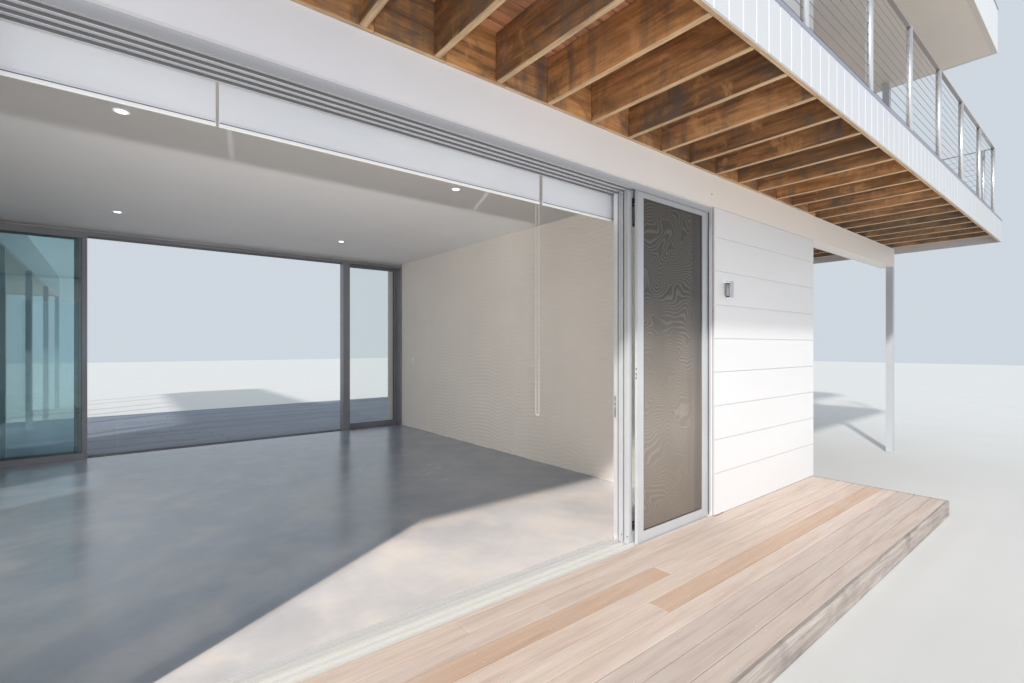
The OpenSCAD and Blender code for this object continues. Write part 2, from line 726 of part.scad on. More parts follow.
// Three roller blinds side by side over the doorway
blind_from = -open_x;
blind_w = (feature_x - blind_from - 4 * blind_space) / 3;
blind_y = in_front_y + blind_gap;
roll_z = ceiling_z - roll_drop;
bracket_t = 4;

module each_blind()
    for (i = [0 : 2]) translate([blind_from + blind_space + i * (blind_w + blind_space), 0, 0])
        children();

module blind_fabric() color([0.95, 0.95, 0.94]) each_blind() {
    translate([bracket_t + seat, blind_y, roll_z]) rotate([0, 90, 0])
        cylinder(d = roll_d, h = blind_w - 2 * (bracket_t + seat));
    block([bracket_t + seat, blind_w - bracket_t - seat],
        [blind_y - roll_d / 2, blind_y - roll_d / 2 + fabric_t],
        [blind_z + blind_rail_h + seat, roll_z]);
}

// Brackets that hang the rolls from the ceiling, and the rails in the blinds' lower edges
module blind_fittings() color([0.92, 0.92, 0.92]) {
    each_blind() {
        for (x = [0, blind_w - bracket_t])
            block([x, x + bracket_t], [blind_y - roll_d / 4, blind_y + roll_d / 4],
                [roll_z - roll_d / 4, ceiling_z]);
        block([bracket_t, blind_w - bracket_t],
            [blind_y - roll_d / 2 - bracket_t, blind_y - roll_d / 2 + fabric_t + bracket_t],
            [blind_z, blind_z + blind_rail_h]);
    }
    chain_wheel();
}

// Endless chain round the drive wheel beside the middle blind
chain_x = blind_from + blind_space + 2 * (blind_w + blind_space) - blind_space / 2;
chain_low = floor_z + chain_z + chain_w / 2;

module half_loop()
    rotate([90, 0, 90]) rotate_extrude(angle = 180) translate([chain_w / 2, 0])
        circle(d = bead_d);

module bead_chain() color([0.90, 0.90, 0.90]) translate([chain_x, blind_y, 0]) {
    for (y = [-chain_w / 2, chain_w / 2])
        translate([0, y, chain_low]) cylinder(d = bead_d, h = roll_z - chain_low);
    translate([0, 0, roll_z]) half_loop();
    translate([0, 0, chain_low]) mirror([0, 0, 1]) half_loop();
}

module chain_wheel()
    translate([chain_x - blind_space / 2, blind_y, roll_z]) rotate([0, 90, 0])
        cylinder(d = chain_w - bead_d - 2 * seat, h = (blind_space + bead_d) / 2);

module downlights() color([0.95, 0.95, 0.93])
    for (x = [-downlight_at[0], downlight_at[0]], y = [-downlight_at[1], downlight_at[1]])
        translate([x, y + downlight_y, ceiling_z - downlight_t]) difference() {
            cylinder(d = downlight_d, h = downlight_t);
            translate([0, 0, -cut])
                cylinder(d = downlight_d - 2 * downlight_rim, h = cut + downlight_t / 2);
        }

module wall_light_body() color([0.85, 0.86, 0.86])
    translate([skin_x + wall_light_x, front_y - wall_light[1], floor_z + wall_light_z])
        cube(wall_light);

module switch_plate() color([0.95, 0.95, 0.95])
    translate([feature_x - switch_size[0], in_rear_y - switch_y, floor_z + switch_z])
        cube(switch_size);

ground_slab();
front_deck();
rear_deck();
front_wall();
rear_wall();
end_walls();
feature_wall();
front_beam();
porch_beams();
posts();
upper_floor();
balcony_joists();
terrace_joists();
balcony_boards();
terrace_boards();
balcony_fascia();
metal_capping();
front_balustrade();
side_balustrades();
upper_front_wall();
upper_rear_wall();
upper_end_walls();
window_frames();
fixed_glass();
roof_slab();
roof_soffit();
roof_fascia();
verandah_roof();
front_door_frame();
rear_door_frame();
front_left_slider();
front_left_glass();
front_inner_slider();
front_inner_glass();
front_outer_slider();
front_outer_glass();
screen_door();
screen_mesh();
rear_inner_slider();
rear_inner_glass();
rear_middle_slider();
rear_middle_glass();
rear_outer_slider();
rear_outer_glass();
blind_fabric();
blind_fittings();
bead_chain();
downlights();
wall_light_body();
switch_plate();
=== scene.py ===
"""A two-storey beach house: boards, relief, hardware and materials round the solids."""
import random
from itertools import product
from math import atan2, ceil, copysign, cos, dist, floor, pi, radians, sin

import bmesh
import bpy
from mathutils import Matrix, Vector


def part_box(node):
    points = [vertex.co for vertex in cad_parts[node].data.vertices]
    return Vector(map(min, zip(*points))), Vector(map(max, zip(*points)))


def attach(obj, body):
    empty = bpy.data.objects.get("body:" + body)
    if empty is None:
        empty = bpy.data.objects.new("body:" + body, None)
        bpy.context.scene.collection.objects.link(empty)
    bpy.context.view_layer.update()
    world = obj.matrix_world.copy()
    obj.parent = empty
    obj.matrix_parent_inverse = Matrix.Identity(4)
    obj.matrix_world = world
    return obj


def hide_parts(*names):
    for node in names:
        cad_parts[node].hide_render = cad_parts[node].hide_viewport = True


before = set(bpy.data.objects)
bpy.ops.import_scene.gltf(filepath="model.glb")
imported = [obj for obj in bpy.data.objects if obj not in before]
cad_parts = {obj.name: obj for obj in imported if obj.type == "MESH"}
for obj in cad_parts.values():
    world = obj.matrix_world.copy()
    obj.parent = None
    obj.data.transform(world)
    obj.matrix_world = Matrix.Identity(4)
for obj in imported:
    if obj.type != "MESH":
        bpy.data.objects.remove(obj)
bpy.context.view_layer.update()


scene = bpy.context.scene


def new_object(name, data):
    ob = bpy.data.objects.new(name, data)
    scene.collection.objects.link(ob)
    return ob


# --- camera, stage and light
EYE, VIEW = (-1.386, -5.781, 1.69), (0.6266, 0.7793)
cam = scene.camera = new_object("camera", bpy.data.cameras.new("camera"))
cam.data.lens, cam.data.sensor_width, cam.data.shift_y = 17.46, 36.0, 0.0044
cam.data.clip_start, cam.data.clip_end = 0.05, 400
cam.location = EYE
cam.rotation_euler = (pi / 2, 0, -atan2(*VIEW))

scene.view_settings.view_transform = "Standard"
scene.cycles.transparent_max_bounces = 24
world = scene.world = bpy.data.worlds.new("studio")
world.use_nodes = True
for key, value in (("Color", (0.84, 0.92, 1.0, 1)), ("Strength", 0.74)):
    world.node_tree.nodes["Background"].inputs[key].default_value = value


def link(ob, kind, *names, state="INCLUDE"):
    """Lists what a light does or doesn't light (receiver) or what blocks it."""
    group = bpy.data.collections.new(f"{ob.name}_{kind}")
    for name in names:
        group.objects.link(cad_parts.get(name) or bpy.data.objects[name])
    for item in group.collection_objects:
        item.light_linking.link_state = state
    setattr(ob.light_linking, kind + "_collection", group)


SETTINGS = {"SUN": ["angle"], "SPOT": ["spot_size", "shadow_soft_size", "spot_blend"],
    "AREA": ["size", "size_y"]}


def lamp(name, kind, place, aim, power, colour, *values):
    """Lamp that cameras and mirrors don't see, with the values of its kind's settings."""
    data = bpy.data.lights.new(name, kind)
    data.energy, data.color = power, colour
    for key, value in zip(SETTINGS[kind], values):
        setattr(data, key, value)
    if kind == "AREA":
        data.shape = "RECTANGLE"
    ob = new_object(name, data)
    ob.location = place
    ob.rotation_euler = (Vector(aim) - Vector(place)).to_track_quat("-Z", "Y").to_euler()
    ob.visible_camera = ob.visible_glossy = False
    return ob


LOW, LOW_AIM = (-2.72, -12, 0.38), (0.4, -3.1, 2.6)
sun = lamp("key", "SUN", (-15.44, -8.18, 9.7), (0, 0, 0), 2.8, (1.0, 0.97, 0.92), radians(2.5))
sun.visible_glossy = True
floor_sun = lamp("floor_sun", "SPOT", (-30.9, -19.77, 20.6), (0, -3.4, 1.2), 228000,
    (1.0, 0.72, 0.5), radians(9.2), 0.4, 0.1)
link(floor_sun, "receiver", "ground_slab")
low_lamp = lamp("low_front", "SPOT", LOW, LOW_AIM, 620, (0.96, 0.98, 1.0), radians(80), 0.1, 0.5)
ceiling_lamp = lamp("ceiling_light", "SPOT", LOW, LOW_AIM, 6500, (0.97, 0.97, 1.0),
    radians(42), 0.1, 1.0)
link(ceiling_lamp, "receiver", "upper_floor")
front_lamp = lamp("front_fill", "AREA", (-3, -12, 2.2), (0, -2, 1.8), 64, (0.92, 0.95, 1.0), 9, 4)
lamp("room_fill", "AREA", (-0.8, -1.6, 0.3), (-0.8, -1.2, 3), 14, (1.0, 0.93, 0.84), 5, 2.2)
wall_lamp = lamp("wall_fill", "AREA", (-3.2, -1.0, 1.4), (3, -0.4, 1.5), 80, (1.0, 0.92, 0.82), 3,
    2.4)
lamp("balcony_fill", "AREA", (2, -5.6, 0.25), (2, -4.2, 3.4), 50, (1.0, 0.86, 0.72), 10, 0.8)

# --- mesh code
rng = random.Random(7)


def board_faces():
    """Faces of a chamfered box, which has three vertices at each corner."""
    faces = []
    for k in range(3):
        a, b = [j for j in range(3) if j != k]

        def at(s, sa, sb, side):
            t = {k: s, a: sa, b: sb}
            return 3 * (4 * t[0] + 2 * t[1] + t[2]) + side

        for s in (0, 1):
            faces.append([at(s, *c, k) for c in ((0, 0), (1, 0), (1, 1), (0, 1))])
        for c in product((0, 1), repeat=2):
            faces.append([at(s, *c, side) for s, side in ((0, a), (1, a), (1, b), (0, b))])
    return faces + [[3 * i + k for k in range(3)] for i in range(8)]


BOARD_FACES = board_faces()


def tube(n):
    """Sides and both ends between two rings of n vertices."""
    sides = [[i, (i + 1) % n, n + (i + 1) % n, n + i] for i in range(n)]
    return sides + [list(range(n)), list(range(n, 2 * n))]


class Shape:
    """Collects boards, rods and strips; each part has a tone from 0 to 1 for its material."""

    def __init__(self):
        self.verts, self.faces, self.tones, self.smooth = [], [], [], []

    def add(self, verts, faces, tone=None, smooth=False):
        base = len(self.verts)
        tone = rng.random() if tone is None else tone
        self.verts += [tuple(v) for v in verts]
        self.faces += [[base + i for i in f] for f in faces]
        self.tones += [tone] * len(faces)
        self.smooth += [smooth] * len(faces)

    def board(self, x, y, z, c=0.002, tone=None):
        """Box between two corners with chamfered edges."""
        c = min([c] + [(b - a) * 0.4 for a, b in (x, y, z)])
        verts = []
        for s in product((0, 1), repeat=3):
            p = [pair[i] for pair, i in zip((x, y, z), s)]
            q = [a - c if i else a + c for a, i in zip(p, s)]
            verts += [q[:k] + [p[k]] + q[k + 1:] for k in range(3)]
        self.add(verts, BOARD_FACES, tone)

    def prism(self, profile, axis, span, tone=None):
        """Flat outline in the other two axes, drawn out along one axis."""
        k = "XYZ".index(axis)
        verts = [(*pair[:k], end, *pair[k:]) for end in span for pair in profile]
        self.add(verts, tube(len(profile)), tone)

    def rod(self, a, b, r, n=12, r2=None, tone=None):
        """Round bar from a to b, with closed ends."""
        a, b = Vector(a), Vector(b)
        w = (b - a).normalized()
        u = w.orthogonal().normalized()
        v = w.cross(u)
        turn = [2 * pi * i / n for i in range(n)]
        verts = [p + (u * cos(t) + v * sin(t)) * q
            for p, q in ((a, r), (b, r if r2 is None else r2)) for t in turn]
        self.add(verts, tube(n), tone, smooth=True)
        self.smooth[-2:] = [False, False]

    def grid(self, rows, tone=None, smooth=True):
        """Surface through rows of points."""
        n = len(rows[0])
        faces = [[j * n + i, j * n + i + 1, (j + 1) * n + i + 1, (j + 1) * n + i]
            for j in range(len(rows) - 1) for i in range(n - 1)]
        self.add([p for row in rows for p in row], faces, tone, smooth)

    def make(self, name, slot, key, body="house", replaces=(), closed=True):
        mesh = bpy.data.meshes.new(name)
        mesh.from_pydata(self.verts, [], self.faces)
        mesh.polygons.foreach_set("use_smooth", self.smooth)
        mesh.attributes.new("tone", "FLOAT", "FACE").data.foreach_set("value", self.tones)
        if closed:
            bm = bmesh.new()
            bm.from_mesh(mesh)
            bmesh.ops.recalc_face_normals(bm, faces=bm.faces)
            bm.to_mesh(mesh)
            bm.free()
        mesh.materials.append(M[key])
        ob = new_object(name, mesh)
        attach(ob, body)
        if replaces:
            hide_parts(*replaces)
        return ob


def shapes(count):
    return [Shape() for _ in range(count)]


def inset(pair, gap):
    return pair[0] + gap, pair[1] - gap


def lengths(span, size, gap):
    """Even parts of a span, of about one size, with a gap at each of their ends."""
    n = max(1, round((span[1] - span[0]) / size))
    step = (span[1] - span[0]) / n
    return [(span[0] + i * step + gap, span[0] + (i + 1) * step - gap) for i in range(n)]


def butted(lo, hi, draw, least):
    """Drawn lengths end to end from lo to hi, none shorter than the least."""
    while lo < hi - 0.01:
        end = lo + draw()
        end = hi if hi - end < least else end
        yield lo, end
        lo = end


# --- materials
AWAY = (-0.4, -0.8)  # parts of the normal, from which a face looks the other way


class Graph:
    """A Principled material and short calls for the nodes that feed it."""

    def __init__(self, name, roughness=0.5, metallic=0.0):
        self.mat = bpy.data.materials.new(name)
        self.mat.use_nodes = True
        self.tree = self.mat.node_tree
        self.bsdf = self.tree.nodes["Principled BSDF"]
        self.bsdf.inputs["Roughness"].default_value = roughness
        self.bsdf.inputs["Metallic"].default_value = metallic

    def put(self, socket, value):
        if isinstance(value, bpy.types.NodeSocket):
            self.tree.links.new(value, socket)
        elif socket.type == "RGBA" and len(value) == 3:
            socket.default_value = (*value, 1)
        else:
            socket.default_value = value

    def node(self, kind, *ins, **named):
        n = self.tree.nodes.new("ShaderNode" + kind)
        for key in [k for k in named if hasattr(n, k)]:
            setattr(n, key, named.pop(key))
        for i, value in enumerate(ins):
            self.put(n.inputs[i], value)
        for key, value in named.items():
            self.put(n.inputs[key.replace("_", " ")], value)
        return n

    def coords(self, scale=(1, 1, 1)):
        place = self.node("TexCoord").outputs["Object"]
        return self.node("Mapping", place, Scale=scale).outputs[0]

    def at(self, axis):
        """Place along one axis."""
        return self.node("SeparateXYZ", self.coords()).outputs[axis]

    def facing(self, axis):
        """The surface normal's part along one axis."""
        normal = self.node("NewGeometry").outputs["True Normal"]
        return self.node("SeparateXYZ", normal).outputs[axis]

    def tone(self):
        return self.node("Attribute", attribute_name="tone").outputs["Fac"]

    def jitter(self, vec, amount=37.0):
        """Coordinates that differ by the tone."""
        far = self.times(self.tone(), amount)
        return self.node("VectorMath", vec, self.node("CombineXYZ", far, far, far).outputs[0],
            operation="ADD").outputs[0]

    def noise(self, scale, detail, rough, warp=0.0, vec=None):
        return self.node("TexNoise", Vector=vec or self.coords(), Scale=scale, Detail=detail,
            Roughness=rough, Distortion=warp).outputs["Fac"]

    def math(self, op, a, b=0.0):
        return self.node("Math", a, b, operation=op).outputs[0]

    def times(self, a, b):
        return self.math("MULTIPLY", a, b)

    def plus(self, a, b):
        return self.math("ADD", a, b)

    def wave(self, axis, pitch):
        return self.math("SINE", self.times(self.at(axis), 2 * pi / pitch))

    def span(self, fac, a, b, c=0.0, d=1.0):
        return self.node("MapRange", fac, a, b, c, d).outputs[0]

    def ramp(self, fac, *stops):
        n = self.node("ValToRGB", fac)
        el = n.color_ramp.elements
        while len(el) < len(stops):
            el.new(0.5)
        for e, (at, colour) in zip(el, stops):
            e.position, e.color = at, (*colour, 1)
        return n.outputs[0]

    def mix(self, fac, a, b, blend="MIX"):
        n = self.node("Mix", fac, data_type="RGBA", blend_type=blend)
        self.put(n.inputs[6], a)  # the node's two colours
        self.put(n.inputs[7], b)
        return n.outputs[2]

    def over(self, base, fac, lo, hi, colour, share=1.0):
        """A share of the colour over the base as fac goes from lo to hi."""
        return self.mix(self.span(fac, lo, hi, 0.0, share), base, colour)

    def finish(self, colour, gloss=(), *bumps):
        """gloss is a pattern and its two roughnesses, a bump a pattern, its strength and depth."""
        self.put(self.bsdf.inputs["Base Color"], colour)
        if gloss:
            self.put(self.bsdf.inputs["Roughness"], self.span(gloss[0], 0.3, 0.7, *gloss[1:]))
        over = self.bsdf
        for height, strength, depth in reversed(bumps):
            bump = self.node("Bump", Strength=strength, Distance=depth, Height=height)
            self.put(over.inputs["Normal"], bump.outputs[0])
            over = bump
        return self.mat

    def blend(self, share, first, second):
        """The material is a share of the second shader over the first."""
        both = self.node("MixShader", share, first.outputs[0], second.outputs[0])
        self.put(self.tree.nodes["Material Output"].inputs["Surface"], both.outputs[0])
        return self.mat


def shade(rgb, k):
    return tuple(min(1.0, c * k) for c in rgb)


def paint(name, rgb, rough=0.45, grain=0.15, dirt=0.05, streak=(1, 1, 1), under=None, sunward_shade=None,
        right=None):
    """Brushed paint with clouds; under is the colour of the faces that look down. The colour for
    faces that look left, towards the sun, is painted shade that keeps them from burning out, and
    the colour for the right-hand end is painted warm bounce light that grows towards it."""
    g = Graph(name)
    cloud = g.noise(0.9, 4, 0.6, vec=g.coords(streak))
    fine = g.noise(42, 3, 0.6)
    base = g.mix(g.span(cloud, 0.35, 0.7), shade(rgb, 1 - dirt), shade(rgb, 1 + dirt * 0.4))
    base = g.mix(g.times(g.tone(), 0.35), base, shade(rgb, 1 - dirt * 1.2))
    if under:
        base = g.over(base, g.facing("Z"), *AWAY, under)
    # painted light: a warm bounce off the timber, growing towards the right-hand end
    if right:
        base = g.over(base, g.at("X"), -0.5, 3.2, right)
    # painted shade: faces that look left, towards the sun, are darkened so that the sun does not
    # burn them out
    if sunward_shade:
        base = g.over(base, g.facing("X"), *AWAY, sunward_shade)
    return g.finish(base, (fine, rough - 0.05, rough + 0.08), (fine, grain, 0.0008))


def timber(name, palette, rough=0.6, stain=0.5, grain=55, odd=None, top=None,
        tint=((0.66, 0.64, 0.62), (1, 1, 1), (1.16, 1.1, 1.05))):
    """Sawn boards: grain along X, a tone for each board, stains and weathering. Boards with a tone
    over odd's first value have its colours, and top gives the upper faces'."""
    g = Graph(name)
    vec = g.jitter(g.coords((0.06, 1, 1)))
    fibre = g.noise(grain, 6, 0.65, 0.4, vec)
    wide = g.noise(grain * 0.22, 4, 0.55, 1.6, vec)
    spots = g.noise(2.1, 5, 0.6, vec=g.jitter(g.coords()))
    base = g.ramp(g.plus(g.times(fibre, 0.55), g.times(wide, 0.45)),
        *zip((0.34, 0.5, 0.68), palette))
    base = g.mix(0.5, base, g.ramp(g.tone(), *zip((0.0, 0.5, 1.0), tint)), "MULTIPLY")
    if odd:
        base = g.mix(g.times(g.math("GREATER_THAN", g.tone(), odd[0]), 0.75), base,
            g.ramp(wide, (0.3, odd[1]), (0.7, odd[2])))
    base = g.over(base, spots, 0.52, 0.72, palette[3], stain)
    if top:
        base = g.over(base, g.facing("Z"), 0.4, 0.8, g.ramp(fibre, *zip((0.3, 0.7), top)))
    return g.finish(base, (fibre, rough - 0.08, rough + 0.12), (wide, 0.35, 0.002),
        (fibre, 0.4, 0.001))


def sawn(name, along, down):
    """Orange-brown framing timber with mould, drips, rubbed patches and lower faces painted paler,
    a painted light for the light off the sunlit deck below. along and down are the scales of its
    grain and drips."""
    g = Graph(name)
    vec = g.jitter(g.coords(along), 53)
    fibre = g.noise(42, 7, 0.7, 0.3, vec)
    figure = g.noise(7, 5, 0.6, 1.8, vec)
    patches = g.noise(3.4, 7, 0.7, 0.6, g.jitter(g.coords()))
    drips = g.noise(1.0, 4, 0.6, vec=g.jitter(g.coords(down), 11))
    base = g.ramp(g.plus(g.times(fibre, 0.4), g.times(figure, 0.6)),
        (0.38, (0.165, 0.088, 0.042)), (0.5, (0.37, 0.192, 0.083)), (0.62, (0.6, 0.33, 0.15)))
    base = g.mix(1.0, base, g.ramp(g.tone(), (0.0, (0.52, 0.54, 0.56)), (0.35, (0.82, 0.8, 0.78)),
        (0.7, (1.02, 1, 0.98)), (1.0, (1.2, 1.12, 1.0))), "MULTIPLY")
    grey = g.ramp(patches, (0.35, (0.27, 0.215, 0.145)), (0.6, (0.13, 0.115, 0.085)))
    # painted light: the joists' downward faces are made paler, for the light off the sunlit deck
    # below
    painted_underlight = g.ramp(fibre, (0.35, (0.36, 0.25, 0.145)), (0.62, (0.66, 0.485, 0.3)))
    for layer in ((patches, 0.5, 0.64, (0.125, 0.1, 0.078), 0.82),
            (drips, 0.52, 0.68, (0.13, 0.11, 0.095), 0.7),
            (patches, 0.44, 0.32, (0.68, 0.39, 0.185), 0.6),
            (g.at("X"), 5.0, 6.6, grey, 0.55), (g.facing("Z"), *AWAY, painted_underlight, 0.85)):
        base = g.over(base, *layer)
    return g.finish(base, (fibre, 0.58, 0.76), (figure, 0.3, 0.002), (fibre, 0.4, 0.001))


def metal(name, rgb, rough, metallic, axis=(1, 1, 1), tone=0.08, brush=0.12, painted_shading_high=None, sill=None):
    """Brushed or coated metal. A colour given with two heights is painted over what lies higher:
    painted shade on the silver, where the balcony shades it, and painted light in the frame's head,
    where its tracks lie in shade. sill gives a doorway sill's colours, outside and between the
    tracks, painted light that makes the sunlit sill lighter than the frame, less so between the
    tracks; with a sill the head's outer face gets painted shade too."""
    g = Graph(name, metallic=metallic)
    line = g.noise(4, 3, 0.6, vec=g.coords([90 * a for a in axis]))
    cloud = g.noise(1.3, 4, 0.6)
    base = g.mix(g.span(cloud, 0.35, 0.7), shade(rgb, 1 - tone), shade(rgb, 1 + tone))
    # painted light and shade over the upper parts
    if painted_shading_high:
        base = g.over(base, g.at("Z"), *painted_shading_high)
    if sill:
        # painted shade: the head's outer face is darker, for the shade that it lies in
        painted_head_shade = g.times(g.span(g.at("Y"), -3.38, -3.392), g.span(g.at("Z"), 2.6, 2.8))
        base = g.mix(painted_head_shade, base, (0.43, 0.445, 0.48))
        # painted light: the sill is lighter than the frame, where the sun falls on it, less so
        # between the tracks
        base = g.over(base, g.at("Z"), 0.2, 0.16, g.mix(g.span(g.at("Y"), -3.238, -3.232), *sill))
    return g.finish(base, (line, rough - 0.06, rough + 0.08), (line, brush, 0.0004))


def plain_glass(name, tint, mirror=0.9, normal=0.045, steep=False):
    """Clear tinted sheet with a mirror that grows at grazing angles. A steep one turns the low sun
    away, as several panes behind one another do."""
    g = Graph(name, roughness=0.02, metallic=1.0)
    smear = g.noise(1.6, 4, 0.6)
    base = g.mix(smear, shade(tint, 0.97), (0.96, 0.98, 0.99))
    g.finish(base)
    g.put(g.bsdf.inputs["Roughness"], g.span(smear, 0.3, 0.8, 0.01, 0.04))
    if steep:
        facing = g.node("LayerWeight", Blend=0.5).outputs["Fresnel"]
    else:
        facing = g.math("POWER", g.node("LayerWeight", Blend=0.5).outputs["Facing"], 4.5)
    share = g.plus(g.times(facing, mirror - normal), normal)
    return g.blend(share, g.node("BsdfTransparent", tint), g.bsdf)


def concrete():
    g = Graph("polished_concrete_painted_shade")
    big = g.noise(0.8, 5, 0.6)
    # painted shade and reflection: the grey is blued for the room's shade and the sky that the
    # floor mirrors
    base = g.ramp(big, (0.3, (0.22, 0.262, 0.322)), (0.5, (0.28, 0.322, 0.385)),
        (0.7, (0.35, 0.388, 0.445)))
    cloud = g.noise(3.1, 3, 0.5)
    base = g.over(base, cloud, 0.45, 0.7, (0.42, 0.44, 0.46), 0.3)
    return g.finish(base, (big, 0.17, 0.28), (cloud, 0.02, 0.002))


def insect_mesh():
    """Woven wires at a true scale, see-through between them, and the rings that they make."""
    g = Graph("insect_mesh")
    wires = g.math("MAXIMUM", *[g.span(g.wave(k, 0.0032), -0.1, 0.35) for k in "XZ"])
    warp = g.noise(3.0, 1.0, 0.5, 0.3)
    rings = g.math("SINE", g.plus(g.times(g.at("Z"), 175), g.times(warp, 105)))
    area = g.times(g.span(g.noise(2.2, 2, 0.5, vec=g.coords((1, 1, 0.8))), 0.32, 0.5),
        g.span(g.at("X"), 2.62, 2.55))
    moire = g.times(g.span(rings, 0.0, 1.0), area)
    # painted light and shade: the mesh is darkest at the top, where the balcony shades it, and
    # lightest about a metre up, where the sun falls
    height = g.ramp(g.span(g.at("Z"), 2.15, 0.25), (0.0, (0.064, 0.061, 0.055)),
        (0.35, (0.21, 0.185, 0.16)), (0.6, (0.27, 0.235, 0.2)), (1.0, (0.19, 0.16, 0.135)))
    bars = g.noise(1.0, 3, 0.6, vec=g.coords((34, 1, 0.15)))
    side = g.times(g.span(g.at("X"), 2.5, 2.6), g.span(bars, 0.42, 0.62))
    base = g.mix(g.times(side, 0.5), height, (0.085, 0.075, 0.085))
    moire = g.times(moire, g.span(g.at("Z"), 1.2, 2.1, 0.13, 0.42))
    base = g.mix(moire, base, g.mix(1.0, base, (3.0, 3.0, 2.95), "MULTIPLY"))
    g.put(g.bsdf.inputs["Alpha"], g.span(wires, 0, 1, 0.72, 1.0))
    return g.finish(base)


def cloth():
    g = Graph("blind_cloth", roughness=0.8)
    weave = g.plus(*[g.wave(k, 0.0016) for k in "XZ"])
    cloud = g.noise(1.2, 4, 0.6, vec=g.coords((1, 1, 3)))
    base = g.mix(g.span(cloud, 0.3, 0.7), (0.73, 0.755, 0.8), (0.8, 0.82, 0.86))
    g.finish(base, (), (weave, 0.15, 0.0003))
    return g.blend(0.12, g.bsdf, g.node("BsdfTranslucent", base))


def lens():
    g = Graph("light_lens", roughness=0.3)
    base = g.mix(g.noise(60, 2, 0.5), (0.9, 0.9, 0.86), (1, 1, 0.97))
    g.bsdf.inputs["Emission Strength"].default_value = 6.0
    g.put(g.bsdf.inputs["Emission Color"], base)
    return g.finish(base)


